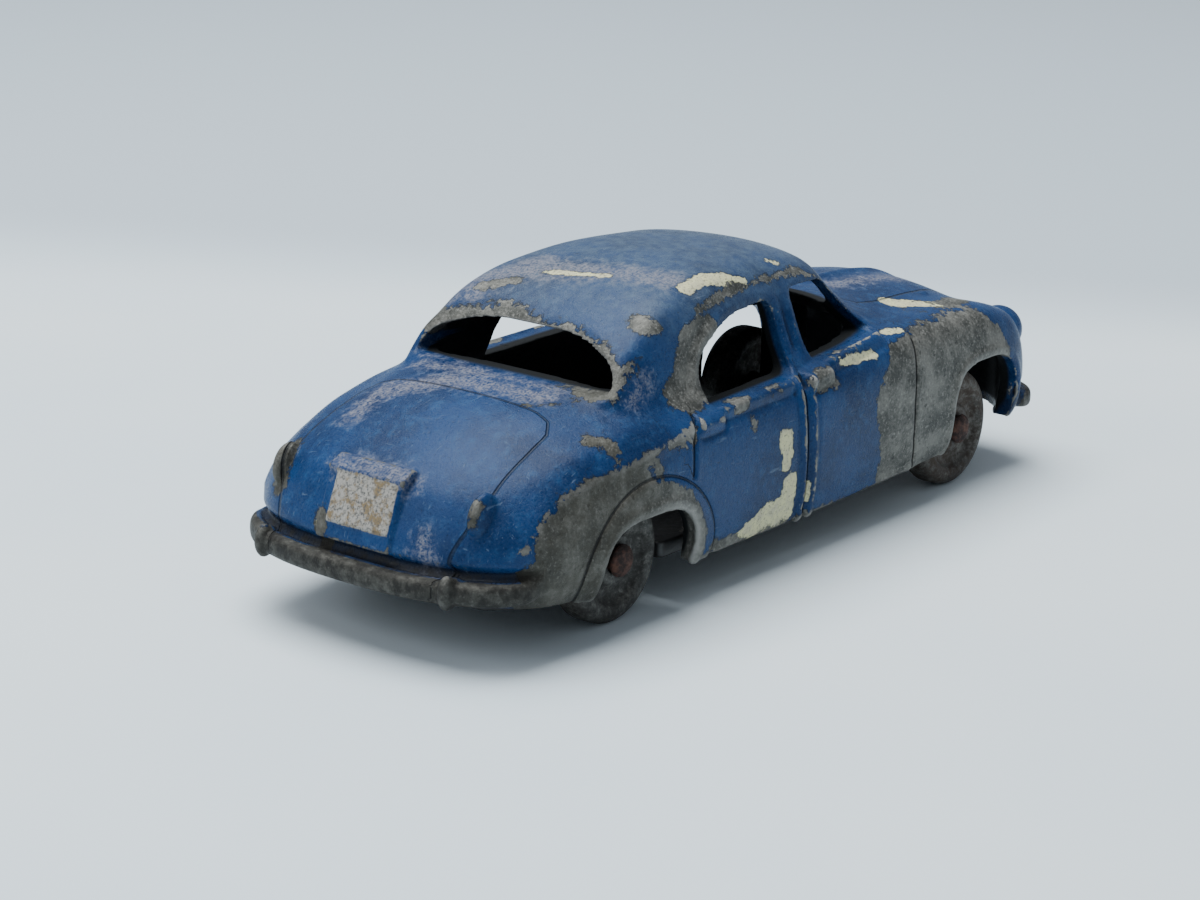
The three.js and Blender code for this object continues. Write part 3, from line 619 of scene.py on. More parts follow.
CREAM_SIDE = [
    [(-7.4, 3.3), (-5.4, 4.3), (-4.0, 5.0), (-2.7, 4.8), (-2.4, 6.1), (-1.6, 6.1), (-1.3, 3.5),
     (-3.6, 2.9), (-5.5, 2.7)],
    [(-3.0, 9.4), (-2.2, 9.2), (-2.1, 7.9), (-2.4, 7.1), (-2.8, 7.2), (-2.8, 8.0), (-3.1, 8.6)],
]
BARE_TAIL = [[(7.6, 16.7), (4.2, 17.45), (2, 17.5), (0.2, 17.5), (-1.5, 17.1), (-3, 17.2),
              (-4.4, 17.1), (-6.7, 16.7), (-8.1, 15.8), (-8.5, 14.0), (-7.2, 13.9), (0, 15), (7, 15),
              (8.6, 15.5)]]
# Small patches as (start, end, radius) on the body itself.
BARE_SPOTS = [
    ((-12.6, -6.9, 17.9), (-12.3, -7.6, 17.4), 0.6), ((-20.6, -9.2, 12.4), (-19.6, -10.4, 11.9), 0.55),
    ((-6.1, -11.2, 10.9), (-6.0, -11.2, 10.6), 0.25), ((-16.4, -11.2, 10.6), (-16.1, -11.3, 10.0), 0.3),
    ((-29.4, -8.1, 9.9), (-30.0, -7.9, 8.9), 0.3), ((-28.3, 8.6, 10.3), (-30.2, 7.9, 8.5), 0.8),
    ((-7.6, -7.8, 17.9), (-3.0, -7.2, 18.3), 0.3), ((-3.0, -7.2, 18.3), (4.0, -6.8, 18.2), 0.18),
    ((4.0, -6.8, 18.2), (7.0, -7.2, 17.6), 0.22),
    ((-7.4, -10.6, 12.2), (-6.3, -10.5, 12.2), 0.4), ((-3.4, -10.4, 12.3), (-2.4, -10.3, 12.4), 0.35),
    ((2.0, -10.9, 11.7), (3.5, -10.9, 11.6), 0.6), ((5.4, -9.9, 12.9), (6.2, -9.8, 13.0), 0.35),
    ((-31.1, 2.9, 7.6), (-31.2, 2.4, 6.2), 0.5), ((-17.6, -6.2, 14.2), (-17.4, -7.4, 14.0), 0.35),
    ((-14.2, 8.2, 16.2), (-13.4, 8.0, 17.0), 0.45), ((-12.1, -11.1, 11.6), (-12.2, -11.3, 10.9), 0.3),
    ((-10.0, -11.3, 3.3), (-7.6, -11.3, 3.2), 0.5), ((22.0, -8.4, 13.0), (24.5, -7.5, 12.8), 0.9),
    ((31.3, -8.2, 9.7), (31.3, -8.1, 9.3), 0.9), ((31.3, 8.2, 9.7), (31.3, 8.1, 9.3), 0.8),
    ((-19.5, -6.0, 13.9), (-21.0, -4.2, 13.8), 0.18), ((-12.5, 6.0, 17.9), (-11.6, 4.0, 18.5), 0.45),
]
CREAM_SPOTS = [
    ((-7.2, -11.3, 3.2), (-4.0, -11.4, 3.7), 0.65), ((0.3, -11.4, 4.2), (0.3, -11.4, 5.2), 0.3),
    ((5.0, -10.4, 12.4), (8.8, -10.7, 12.2), 0.36),
    ((-7.8, -6.7, 18.8), (-5.0, -6.4, 19.2), 0.42), ((-5.0, -6.5, 19.1), (-1.6, -7.0, 18.5), 0.5),
    ((2.5, -5.9, 18.9), (3.3, -6.2, 18.8), 0.2), ((17.5, -6.2, 13.6), (21.6, -8.2, 13.1), 0.75),
    ((13.6, 1.4, 14.7), (16.0, 0.6, 14.4), 0.5),
    ((15.5, -10.4, 12.7), (20.0, -10.5, 12.6), 0.3), ((-31.0, 3.0, 7.2), (-31.2, 2.8, 6.4), 0.28),
    ((-10.2, 2.6, 19.2), (-9.2, -1.8, 19.5), 0.22), ((11.6, -9.6, 13.0), (13.2, -9.9, 12.9), 0.35),
]
DULL_SPOTS = [
    ((-11.8, 6.6, 18.0), (-8.6, 3.6, 19.4), 1.1), ((-16.8, 7.0, 14.4), (-17.4, 0.0, 14.4), 0.5),
    ((-29.8, 2.7, 10.9), (-29.8, -2.7, 10.8), 0.8), ((-13.2, 7.6, 17.0), (-12.0, 7.2, 17.8), 1.0),
    ((-12.9, 6.0, 17.8), (-10.6, 5.0, 18.9), 1.3), ((-10.6, 5.0, 18.9), (-9.0, 0.0, 19.4), 1.4),
    ((-9.0, 0.0, 19.4), (-7.6, -5.6, 19.3), 1.2), ((-22.6, 5.0, 13.3), (-20.0, 2.0, 13.9), 1.3),
    ((-20.0, 2.0, 13.9), (-19.2, -4.5, 14.0), 1.1), ((-25.4, 5.2, 12.2), (-22.0, 5.6, 13.2), 0.9),
    ((-15.6, -8.6, 13.6), (-14.4, -8.6, 14.6), 0.5), ((-18.4, 6.4, 14.0), (-17.8, -5.0, 14.2), 0.6),
    ((16.5, -2.0, 14.3), (25.0, -2.4, 13.6), 0.9), ((-30.9, -5.0, 7.4), (-31.0, -5.6, 6.4), 0.6),
]


def spot_depth(p, n, spots):
    """How deep each point is inside the nearest patch, measured along the surface and negative
    outside them all."""
    best = np.full(len(p), -9.0)
    for start, end, radius in spots:
        start, end = np.array(start), np.array(end)
        run = end - start
        t = np.clip(((p - start) @ run) / (run @ run), 0, 1)
        off = p - start - t[:, None] * run
        off -= 0.8 * (off * n).sum(axis=1)[:, None] * n
        best = np.maximum(best, radius - np.linalg.norm(off, axis=1))
    return best


points = read_points(body.data)
normals = read_normals(body.data)
x, y, z = points.T
right = y < -6.5
bare = spot_depth(points, normals, BARE_SPOTS)
for patch in BARE_SIDE:
    bare = np.maximum(bare, np.where(right, depth_in_outline(x, z, patch), -9))
for patch in BARE_TAIL:
    bare = np.maximum(bare, np.where(x < -11, depth_in_outline(y, z, patch), -9))
bumper_ends = np.minimum(6.1 - z, np.abs(x) - 27.6)
proud = -skin_depth(points)
bare = np.maximum(bare, np.where(proud > 0.3, np.minimum(bumper_ends, proud) * 1.6, -9))
bare = np.maximum(bare, 3.05 - z)
mirrored = points * (1, -1, 1) + (3.1, 0, 0)
mirrored_normals = normals * (1, -1, 1)
left_wear = spot_depth(mirrored, mirrored_normals, BARE_SPOTS[2:4] + BARE_SPOTS[6:13] + BARE_SPOTS[17:19])
left_fender = np.where(y > 6.5, depth_in_outline(x, z, BARE_SIDE[0]) - 2.2, -9)
bare = np.maximum(bare, np.where(y > 0, np.maximum(left_wear, left_fender), -9))
store(body.data, "bare", bare)
cream = np.maximum(spot_depth(points, normals, CREAM_SPOTS),
                   spot_depth(mirrored, mirrored_normals, CREAM_SPOTS[:3]))
for patch in CREAM_SIDE:
    cream = np.maximum(cream, np.where(right, depth_in_outline(x, z, patch) + 0.3, -9))
store(body.data, "cream", cream)
store(body.data, "dull", spot_depth(points, normals, DULL_SPOTS))
PLATE = [(-2.75, 7.5), (-2.75, 10.55), (2.2, 10.6), (2.2, 7.5)]
store(body.data, "plate", np.where(x < -29.9, depth_in_outline(y, z, PLATE), -9))
store(body.data, "under_skin", -proud)

# Shut lines: the signed distance to the nearest one, and how far off that line itself is.
shut = np.full(len(points), 9.0)
on_sides = np.abs(y) > 8.5
for a, b, path, where in (
        (x, z, REAR_DOOR_EDGE, on_sides), (x, z, FRONT_DOOR_EDGE, on_sides),
        (x, z, CENTRE_POST, on_sides), (x, np.abs(y), BOOT_EDGE, x < -18),
        (x, np.abs(y), BONNET_EDGE, (x > 12) & (z > 9))):
    shut = nearer(np.where(where, signed_distance(a, b, path), 9), shut)
shut = nearer(np.where(on_sides, off_spat(x, z) - 0.1, 9), shut)
store(body.data, "shut", shut)


# Finish of the body: zinc, then cream undercoat, then blue enamel, each showing where worn.
def plug(tree, socket, value):
    """Links a socket to another, or sets its value."""
    if isinstance(value, bpy.types.NodeSocket):
        tree.links.new(value, socket)
    elif value is not None:
        socket.default_value = value


def maths(tree, operation, a, b=None, c=None):
    node = tree.nodes.new("ShaderNodeMath")
    node.operation = operation
    for socket, value in zip(node.inputs, (a, b, c)):
        plug(tree, socket, value)
    return node.outputs[0]


def times(tree, a, b):
    return maths(tree, "MULTIPLY", a, b)


def mixed(tree, share, a, b):
    """Colour a turning into colour b; a colour is an output or (red, green, blue)."""
    node = tree.nodes.new("ShaderNodeMix")
    node.data_type = "RGBA"
    plug(tree, node.inputs[0], share)
    for index, colour in ((6, a), (7, b)):
        plug(tree, node.inputs[index], (*colour, 1) if isinstance(colour, tuple) else colour)
    return node.outputs[2]


def tinted(tree, colour, *tints):
    """Colour turned towards one tint after another, each by a share that grows as a value goes
    from low to high; a tint is (value, low, high, greatest share, colour)."""
    for value, low, high, most, tint in tints:
        colour = mixed(tree, ramp(tree, value, low, high, 0.0, most), colour, tint)
    return colour


def ramp(tree, value, low, high, out_low=0.0, out_high=1.0):
    """Smooth step from out_low to out_high as value goes from low to high."""
    node = tree.nodes.new("ShaderNodeMapRange")
    node.interpolation_type = "SMOOTHSTEP"
    for index, setting in enumerate((value, low, high, out_low, out_high)):
        plug(tree, node.inputs[index], setting)
    return node.outputs[0]


def speckle(tree, place, scale, detail=4.0, rough=0.6, stretch=None):
    """Cloudy noise, scale in features per millimetre."""
    if stretch:
        mapping = tree.nodes.new("ShaderNodeMapping")
        plug(tree, mapping.inputs["Vector"], place)
        mapping.inputs["Rotation"].default_value = stretch[1]
        mapping.inputs["Scale"].default_value = stretch[0]
        place = mapping.outputs[0]
    node = tree.nodes.new("ShaderNodeTexNoise")
    plug(tree, node.inputs["Vector"], place)
    node.inputs["Scale"].default_value = scale
    node.inputs["Detail"].default_value = detail
    node.inputs["Roughness"].default_value = rough
    return node.outputs["Fac"]


def millimetres(tree):
    """Object coordinates counted in millimetres."""
    where = tree.nodes.new("ShaderNodeTexCoord")
    mapping = tree.nodes.new("ShaderNodeMapping")
    mapping.inputs["Scale"].default_value = (1 / MM,) * 3
    tree.links.new(where.outputs["Object"], mapping.inputs["Vector"])
    return mapping.outputs[0]


def relief(tree, strength, height):
    """Bump from a height counted in millimetres."""
    bump = tree.nodes.new("ShaderNodeBump")
    for label, value in (("Strength", strength), ("Distance", MM), ("Height", height)):
        plug(tree, bump.inputs[label], value)
    return bump.outputs[0]


def axes(tree, place):
    """The X, Y and Z of a point as separate outputs."""
    node = tree.nodes.new("ShaderNodeSeparateXYZ")
    plug(tree, node.inputs[0], place)
    return node.outputs


def new_tree(name):
    """New material, its node tree, and the place on the piece in millimetres."""
    material = bpy.data.materials.new(name)
    material.use_nodes = True
    return material, material.node_tree, millimetres(material.node_tree)


def surface_looks(tree, settings):
    """Gives the material's shader its settings, by their labels."""
    shader = tree.nodes["Principled BSDF"]
    for label, value in settings.items():
        plug(tree, shader.inputs[label], value)


def kept(tree, name):
    """Number kept on the mesh by store()."""
    node = tree.nodes.new("ShaderNodeAttribute")
    node.attribute_name = name
    return node.outputs["Fac"]


def node_group(name, inputs, outputs):
    group = bpy.data.node_groups.new(name, "ShaderNodeTree")
    for label, kind in inputs:
        group.interface.new_socket(label, in_out="INPUT", socket_type=f"NodeSocket{kind}")
    for label, kind in outputs:
        group.interface.new_socket(label, in_out="OUTPUT", socket_type=f"NodeSocket{kind}")
    entry = group.nodes.new("NodeGroupInput").outputs
    leave = group.nodes.new("NodeGroupOutput").inputs
    return group, entry, leave


def use_group(tree, group, **values):
    node = tree.nodes.new("ShaderNodeGroup")
    node.node_tree = group
    for label, value in values.items():
        plug(tree, node.inputs[label], value)
    return node.outputs


# A worn patch: its ragged mask and the thin broken rim of the coat around it.
worn_patch, entry, leave = node_group(
    "worn_patch", (("Place", "Vector"), ("Depth", "Float"), ("Reach", "Float")),
    (("Mask", "Float"), ("Rim", "Float")))
broad = maths(worn_patch, "SUBTRACT", speckle(worn_patch, entry["Place"], 0.55, 6.0, 0.62), 0.5)
crisp = maths(worn_patch, "SUBTRACT", speckle(worn_patch, entry["Place"], 2.6, 3.0, 0.6), 0.5)
ragged = maths(worn_patch, "MULTIPLY_ADD", crisp, 0.6, broad)
shift = times(worn_patch, ragged, entry["Reach"])
torn = maths(worn_patch, "ADD", entry["Depth"], shift)
plug(worn_patch, leave["Mask"], ramp(worn_patch, torn, -0.03, 0.04))
off_rim = maths(worn_patch, "ABSOLUTE", maths(worn_patch, "ADD", torn, 0.03))
plug(worn_patch, leave["Rim"], ramp(worn_patch, off_rim, 0.02, 0.13, 1.0, 0.0))

# Bare zinc as cast: mottled grey with a fine grain and dark pits, its light grain flecks painted glints;
# raised edges get a painted highlight and hollows painted shade.
old_zinc, entry, leave = node_group(
    "old_zinc", (("Place", "Vector"), ("Edge", "Float")),
    (("Color", "Color"), ("Roughness", "Float"), ("Height", "Float")))
cloud = speckle(old_zinc, entry["Place"], 0.5, 5.0, 0.65)
grain_and_glints = speckle(old_zinc, entry["Place"], 4.5, 5.0, 0.75)
pits = speckle(old_zinc, entry["Place"], 2.2, 2.0, 0.5)
tone = mixed(old_zinc, ramp(old_zinc, cloud, 0.35, 0.68), (0.062, 0.063, 0.058), (0.185, 0.18, 0.162))
tone = tinted(
    old_zinc, tone,
    # Light grain flecks: the zinc's own grain, brightened as painted glints.
    (grain_and_glints, 0.5, 0.68, 0.75, (0.32, 0.31, 0.285)),
    (grain_and_glints, 0.47, 0.33, 0.6, (0.03, 0.029, 0.026)),
    (pits, 0.64, 0.72, 0.6, (0.022, 0.022, 0.021)),
    # Lighter on raised edges as a painted highlight, darker in hollows as painted shade.
    (entry["Edge"], 0.02, 0.1, 0.6, (0.36, 0.35, 0.33)),
    (entry["Edge"], -0.02, -0.09, 0.75, (0.02, 0.02, 0.018)))
plug(old_zinc, leave["Color"], tone)
plug(old_zinc, leave["Roughness"], ramp(old_zinc, grain_and_glints, 0.3, 0.7, 0.42, 0.68))
fine_relief = maths(old_zinc, "SUBTRACT", grain_and_glints, pits)
plug(old_zinc, leave["Height"], maths(old_zinc, "MULTIPLY_ADD", cloud, 0.5, fine_relief))

# Hairline scratches in two directions.
hairlines, entry, leave = node_group("hairlines", (("Place", "Vector"),), (("Mask", "Float"),))
first = speckle(hairlines, entry["Place"], 1.0, 2.0, 0.5, ((0.35, 7.0, 2.5), (0.1, 0.2, 0.5)))
second = speckle(hairlines, entry["Place"], 1.0, 2.0, 0.5, ((6.0, 0.4, 2.0), (0.3, -0.2, -0.35)))
lines = maths(hairlines, "MAXIMUM", ramp(hairlines, first, 0.69, 0.75), ramp(hairlines, second, 0.7, 0.76))
plug(hairlines, leave["Mask"], lines)

body_paint, tree, place = new_tree("worn_blue_enamel")
edge = kept(tree, "edge")
under = kept(tree, "under_skin")
bare_patch = use_group(tree, worn_patch, Place=place, Depth=kept(tree, "bare"), Reach=1.7)
cream_patch = use_group(tree, worn_patch, Place=place, Depth=kept(tree, "cream"), Reach=1.0)
plate_patch = use_group(tree, worn_patch, Place=place, Depth=kept(tree, "plate"), Reach=0.3)
zinc = use_group(tree, old_zinc, Place=place, Edge=edge)
scratches = use_group(tree, hairlines, Place=place)["Mask"]
broad_cloud = speckle(tree, place, 0.16, 3.0, 0.55)
fine_cloud = speckle(tree, place, 1.3, 5.0, 0.7)
grit = speckle(tree, place, 5.5, 4.0, 0.7)

along, _, height_up = axes(tree, place)
blue = mixed(tree, ramp(tree, broad_cloud, 0.35, 0.65), (0.0035, 0.021, 0.075), (0.007, 0.038, 0.125))
blue = tinted(tree, blue, (fine_cloud, 0.46, 0.72, 0.6, (0.018, 0.072, 0.18)),
              (grit, 0.55, 0.72, 0.45, (0.05, 0.09, 0.15)),
              (grit, 0.42, 0.3, 0.6, (0.003, 0.008, 0.022)))
# Painted reflection of the overhead light: the roof greys towards the top, in cloudy patches.
roof_painted_sheen = times(tree, ramp(tree, height_up, 15.5, 19.5),
                  ramp(tree, fine_cloud, 0.25, 0.7, 0.15, 0.5))
blue = mixed(tree, roof_painted_sheen, blue, (0.11, 0.14, 0.165))
# Darker blue in hollows: painted shade.
blue = tinted(tree, blue, (edge, -0.015, -0.09, 0.85, (0.006, 0.012, 0.03)))
blue = mixed(tree, times(tree, scratches, 0.3), blue, (0.16, 0.23, 0.32))
streak = maths(tree, "MULTIPLY_ADD", maths(tree, "SUBTRACT", fine_cloud, 0.5), 5.0, kept(tree, "dull"))
streak = ramp(tree, streak, -0.7, 1.1, 0.0, 0.8)
blue = mixed(tree, times(tree, streak, ramp(tree, grit, 0.36, 0.6)), blue, (0.22, 0.21, 0.235))

worn_edge = maths(tree, "ADD", edge, times(tree, maths(tree, "SUBTRACT", fine_cloud, 0.5), 0.22))
worn_edge = ramp(tree, worn_edge, 0.058, 0.075)
chips = ramp(tree, speckle(tree, place, 0.9, 6.0, 0.7), 0.715, 0.72)
any_bare = maths(tree, "MAXIMUM", maths(tree, "MAXIMUM", bare_patch["Mask"], worn_edge), chips)
shut_line = ramp(tree, maths(tree, "ABSOLUTE", kept(tree, "shut")), 0.03, 0.13, 1.0, 0.0)
cream = mixed(tree, ramp(tree, fine_cloud, 0.4, 0.65), (0.62, 0.60, 0.36), (0.5, 0.47, 0.33))
cream = tinted(tree, cream, (grit, 0.48, 0.36, 0.7, (0.12, 0.11, 0.09)))
coat = mixed(tree, cream_patch["Mask"], blue, cream)
# Dark rim round each chip: painted shadow of the chip's edge.
chip_rim_shade = maths(tree, "MAXIMUM", times(tree, bare_patch["Rim"], ramp(tree, grit, 0.36, 0.52)),
             times(tree, cream_patch["Rim"], ramp(tree, grit, 0.4, 0.6)))
coat = mixed(tree, times(tree, chip_rim_shade, 0.85), coat, (0.012, 0.016, 0.026))
film = times(tree, ramp(tree, along, -13.0, -19.0),
             ramp(tree, fine_cloud, 0.3, 0.7, 0.75, 0.35))
metal = mixed(tree, film, zinc["Color"], (0.048, 0.044, 0.033))
surface = mixed(tree, any_bare, coat, metal)
plate_tone = mixed(tree, ramp(tree, fine_cloud, 0.47, 0.6), (0.33, 0.31, 0.28), (0.2, 0.145, 0.08))
plate_tone = mixed(tree, ramp(tree, grit, 0.36, 0.54), (0.1, 0.098, 0.095), plate_tone)
surface = mixed(tree, plate_patch["Mask"], surface, plate_tone)
surface = mixed(tree, times(tree, shut_line, 0.6), surface, (0.008, 0.01, 0.014))
ends = ramp(tree, maths(tree, "ABSOLUTE", along), 26.0, 28.5)
# Darker towards the bottom at both ends, over the bumpers and below them.
low_end_darkening = times(tree, ramp(tree, height_up, 6.4, 5.7),
                  ramp(tree, fine_cloud, 0.35, 0.62, 0.92, 0.4))
low_end_darkening = times(tree, low_end_darkening, ends)
surface = mixed(tree, low_end_darkening, surface, (0.022, 0.021, 0.02))
# The inside of the shell is painted near-black as painted shade of the hollow, and made rougher and not
# metallic.
inside = ramp(tree, under, 0.45, 0.8)
surface = mixed(tree, inside, surface, (0.007, 0.008, 0.009))
paint_gloss = maths(tree, "ADD", ramp(tree, grit, 0.3, 0.7, 0.22, 0.42), times(tree, streak, 0.25))
coat_gloss = maths(tree, "ADD", paint_gloss, times(tree, cream_patch["Mask"], 0.25))
gloss = tree.nodes.new("ShaderNodeMix")
plug(tree, gloss.inputs[0], any_bare)
plug(tree, gloss.inputs[2], coat_gloss)
plug(tree, gloss.inputs[3], zinc["Roughness"])
roughness = maths(tree, "MAXIMUM", gloss.outputs[0], times(tree, inside, 0.8))
metal_share = times(tree, any_bare, ramp(tree, inside, 0.0, 1.0, 0.5, 0.0))
painted = maths(tree, "SUBTRACT", 1.0, any_bare)
worn_down = maths(tree, "MAXIMUM", any_bare, times(tree, cream_patch["Mask"], 0.45))
coat_step = maths(tree, "SUBTRACT", 1.0, worn_down)
height = times(tree, coat_step, 0.07)
height = maths(tree, "MULTIPLY_ADD", times(tree, zinc["Height"], any_bare), 0.05, height)
for part, share in ((fine_cloud, 0.035), (grit, 0.045), (shut_line, -0.16), (scratches, -0.008)):
    height = maths(tree, "MULTIPLY_ADD", part, share, height)
surface_looks(tree, {
    "Base Color": surface, "Roughness": roughness, "Metallic": metal_share,
    "Specular IOR Level": 0.13, "Coat Roughness": 0.2, "Coat Weight": times(tree, painted, 0.04),
    "Normal": relief(tree, 0.9, height)})


def finish_piece(obj, material, body_name, node):
    """Scales a finished piece to metres, smooths its shading, and gives it finish and body."""
    obj.data.transform(Matrix.Scale(MM, 4))
    obj.data.materials.clear()
    obj.data.materials.append(material)
    for face in obj.data.polygons:
        face.use_smooth = True
    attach(obj, body_name)
    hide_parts(node)


finish_piece(body, body_paint, "chassis", "body_shell")

# ---- Base plate ----
# A pressed sheet-steel plate in black enamel that closes the underside; a groove across it under
# each axle, a raised border and long ribs stiffen it.
PLATE_BOTTOM, PLATE_TOP = 2.8, 3.9
PLATE_OUTLINE = [(-27.65, 7.0, 0.6), (-25.45, 9.2, 0.8), (-22.95, 9.2, 0.5), (-22.95, 6.6, 0.5),
                 (-12.75, 6.6, 0.5), (-12.75, 9.2, 0.5), (16.25, 9.2, 0.5), (16.25, 6.6, 0.5),
                 (26.75, 6.6, 1.0)]


def plan_view(a, b, depth):
    return (a, b, depth)


right_hand = [(a, -b, r) for a, b, r in reversed(PLATE_OUTLINE)]
plate = rounded_prism("base_plate_pressing", PLATE_OUTLINE + right_hand, plan_view, PLATE_BOTTOM, PLATE_TOP)
grooves = [drum("axle_groove", x, AXLE_Z, AXLE_BORE, -11, 11) for x in (REAR_AXLE_X, FRONT_AXLE_X)]
panel = [slab("pressed_panel", (1.75, 0, PLATE_BOTTOM), (20, 12.5, 0.5), 0.2),
         slab("pressed_panel", (-9.9, 0, PLATE_BOTTOM), (1.6, 10, 0.5), 0.2),
         slab("pressed_panel", (13.4, 0, PLATE_BOTTOM), (1.6, 10, 0.5), 0.2)]
cut_away(plate, grooves + panel)
plate = joined([plate] + [slab("rib", (1.75, y, PLATE_BOTTOM + 0.12), (18, 0.7, 0.3), 0.12)
                          for y in (-4, 0, 4)], "base_plate_pressing")
modify(plate, "REMESH", mode="VOXEL", voxel_size=0.12, use_smooth_shade=True)
modify(plate, "SMOOTH", factor=0.5, iterations=3)
modify(plate, "DECIMATE", ratio=min(1, 60000 / (2 * len(plate.data.polygons))))

plate_paint, tree, place = new_tree("worn_black_enamel")
zinc = use_group(tree, old_zinc, Place=place, Edge=0.0)
chips = ramp(tree, speckle(tree, place, 0.5, 7.0, 0.7), 0.6, 0.61)
dust = speckle(tree, place, 1.8, 5.0, 0.7)
black = tinted(tree, (0.012, 0.012, 0.013), (dust, 0.4, 0.75, 0.5, (0.07, 0.065, 0.06)))
height = maths(tree, "MULTIPLY_ADD", chips, -0.05, times(tree, dust, 0.03))
surface_looks(tree, {
    "Base Color": mixed(tree, chips, black, zinc["Color"]), "Metallic": times(tree, chips, 0.6),
    "Roughness": ramp(tree, dust, 0.3, 0.7, 0.35, 0.6), "Normal": relief(tree, 0.7, height)})
finish_piece(plate, plate_paint, "chassis", "base_plate")

# ---- Rivets ----
# Zinc studs up through the base plate, each spun over to a low dome with a dimple in its middle.


def turned(profile, segments):
    """Turned shape: profile is (radius, height) points, spun about Z."""
    bm = bmesh.new()
    verts = [bm.verts.new((r, 0, h)) for r, h in profile]
    edges = [bm.edges.new(pair) for pair in zip(verts, verts[1:])]
    bmesh.ops.spin(bm, geom=verts + edges, cent=(0, 0, 0), axis=(0, 0, 1), angle=2 * math.pi,
                   steps=segments, use_merge=True)
    bmesh.ops.remove_doubles(bm, verts=bm.verts, dist=1e-4)
    bmesh.ops.recalc_face_normals(bm, faces=bm.faces)
    return bm


def rounded_profile(points, cut):
    """A profile with its inner corners cut back into short curves."""
    out = [points[0]]
    for before, here, after in zip(points, points[1:], points[2:]):
        here = Vector(here)
        before, after = Vector(before) - here, Vector(after) - here
        start = here + before.normalized() * min(cut, before.length * 0.45)
        end = here + after.normalized() * min(cut, after.length * 0.45)
        out += bend(start, here, end, (0, 0.25, 0.5, 0.75, 1))
    out.append(points[-1])
    return out


zinc_metal, tree, place = new_tree("spun_zinc")
zinc = use_group(tree, old_zinc, Place=place, Edge=0.0)
surface_looks(tree, {
    "Base Color": zinc["Color"], "Roughness": zinc["Roughness"], "Metallic": 0.6,
    "Normal": relief(tree, 0.8, times(tree, zinc["Height"], 0.05))})

RIVET = [(0, 5.9), (0.9, 5.9), (0.9, 2.8), (1.5, 2.8), (1.5, 2.5), (0.95, 2.25), (0.5, 2.25),
         (0.3, 2.4), (0, 2.45)]
for x, node in zip(RIVETS_X, ("rear_rivet", "front_rivet")):
    rivet = placed(node + "_stud", turned(rounded_profile(RIVET, 0.14), 64), (x, 0, 0))
    finish_piece(rivet, zinc_metal, "chassis", node)

# ---- Axles ----
# Steel wire pins headed over at both ends outside the wheels, now red with rust.
rusty_steel, tree, place = new_tree("rusted_steel")
scale_noise = speckle(tree, place, 2.4, 7.0, 0.75)
bloom = speckle(tree, place, 0.9, 3.0, 0.6)
rust = mixed(tree, ramp(tree, scale_noise, 0.4, 0.62), (0.018, 0.009, 0.007), (0.075, 0.026, 0.016))
rust = tinted(tree, rust, (bloom, 0.5, 0.72, 0.7, (0.14, 0.06, 0.036)),
              (scale_noise, 0.62, 0.74, 0.8, (0.12, 0.115, 0.11)))
surface_looks(tree, {
    "Base Color": rust, "Roughness": ramp(tree, scale_noise, 0.35, 0.7, 0.9, 0.6),
    "Metallic": ramp(tree, scale_noise, 0.6, 0.75, 0.05, 0.7),
    "Normal": relief(tree, 1.0, times(tree, scale_noise, 0.16))})

# The pin's radius, how far the hub's face lies inside the wheel's, and the gap to the pin's head.
PIN_RADIUS, HUB_SUNK, HEAD_GAP = 0.75, 0.15, 0.2
for name, x, track in AXLES:
    shank = track / 2 - HUB_SUNK + HEAD_GAP
    half = [(PIN_RADIUS, shank), (1.05, shank), (1.05, shank + 0.25), (0.7, shank + 0.48),
            (0.3, shank + 0.53), (0, shank + 0.55)]
    profile = [(r, -h) for r, h in reversed(half)] + half
    bm = turned(rounded_profile(profile, 0.16), 48)
    pin = placed(f"{name}_axle_pin", bm, (x, 0, AXLE_Z), math.pi / 2, "X")
    finish_piece(pin, rusty_steel, f"{name}_axle", f"{name}_axle")

# ---- Wheels ----
# Each wheel is one small zinc casting: a rounded tyre, a sunk disc and a hub that runs on the pin.
WHEEL_WIDTH = 2.5
wheel_metal, tree, place = new_tree("dirty_zinc_wheel")
zinc = use_group(tree, old_zinc, Place=place, Edge=kept(tree, "edge"))
dirt = speckle(tree, place, 1.5, 6.0, 0.75)
broad = ramp(tree, speckle(tree, place, 0.08, 1.0, 0.5), 0.42, 0.6)
brown = mixed(tree, broad, (0.042, 0.04, 0.037), (0.065, 0.045, 0.034))
tone = mixed(tree, ramp(tree, dirt, 0.38, 0.6, 0.3, 0.95), zinc["Color"], brown)
height = maths(tree, "MULTIPLY_ADD", dirt, 0.12, times(tree, zinc["Height"], 0.07))
surface_looks(tree, {
    "Base Color": tone, "Roughness": ramp(tree, dirt, 0.3, 0.7, 0.55, 0.85), "Metallic": 0.35,
    "Normal": relief(tree, 1.0, height)})


def wheel_profile():
    half, bore, rim = WHEEL_WIDTH / 2, AXLE_BORE, WHEEL_RADIUS
    return [(bore, 0), (bore, -half + 0.3), (rim - 1.3, -half + 0.3), (rim - 1.0, -half),
            (rim - 0.5, -half), (rim, -half + 0.5), (rim, half - 0.6), (rim - 0.25, half - 0.2),
            (rim - 0.8, half), (rim - 1.2, half - HUB_SUNK), (rim - 1.5, half - 0.6),
            (1.8, half - 0.6), (1.6, half - HUB_SUNK), (bore, half - HUB_SUNK), (bore, 0)]


for name, x, track in AXLES:
    for label, side in (("left", 1), ("right", -1)):
        bm = turned(rounded_profile(wheel_profile(), 0.28), 128)
        hub = (x, side * (track - WHEEL_WIDTH) / 2, AXLE_Z)
        node = f"{name}_{label}_wheel"
        wheel = placed(node + "_casting", bm, hub, -side * math.pi / 2, "X")
        store(wheel.data, "edge", np.zeros(len(wheel.data.vertices)))
        finish_piece(wheel, wheel_metal, node, node)

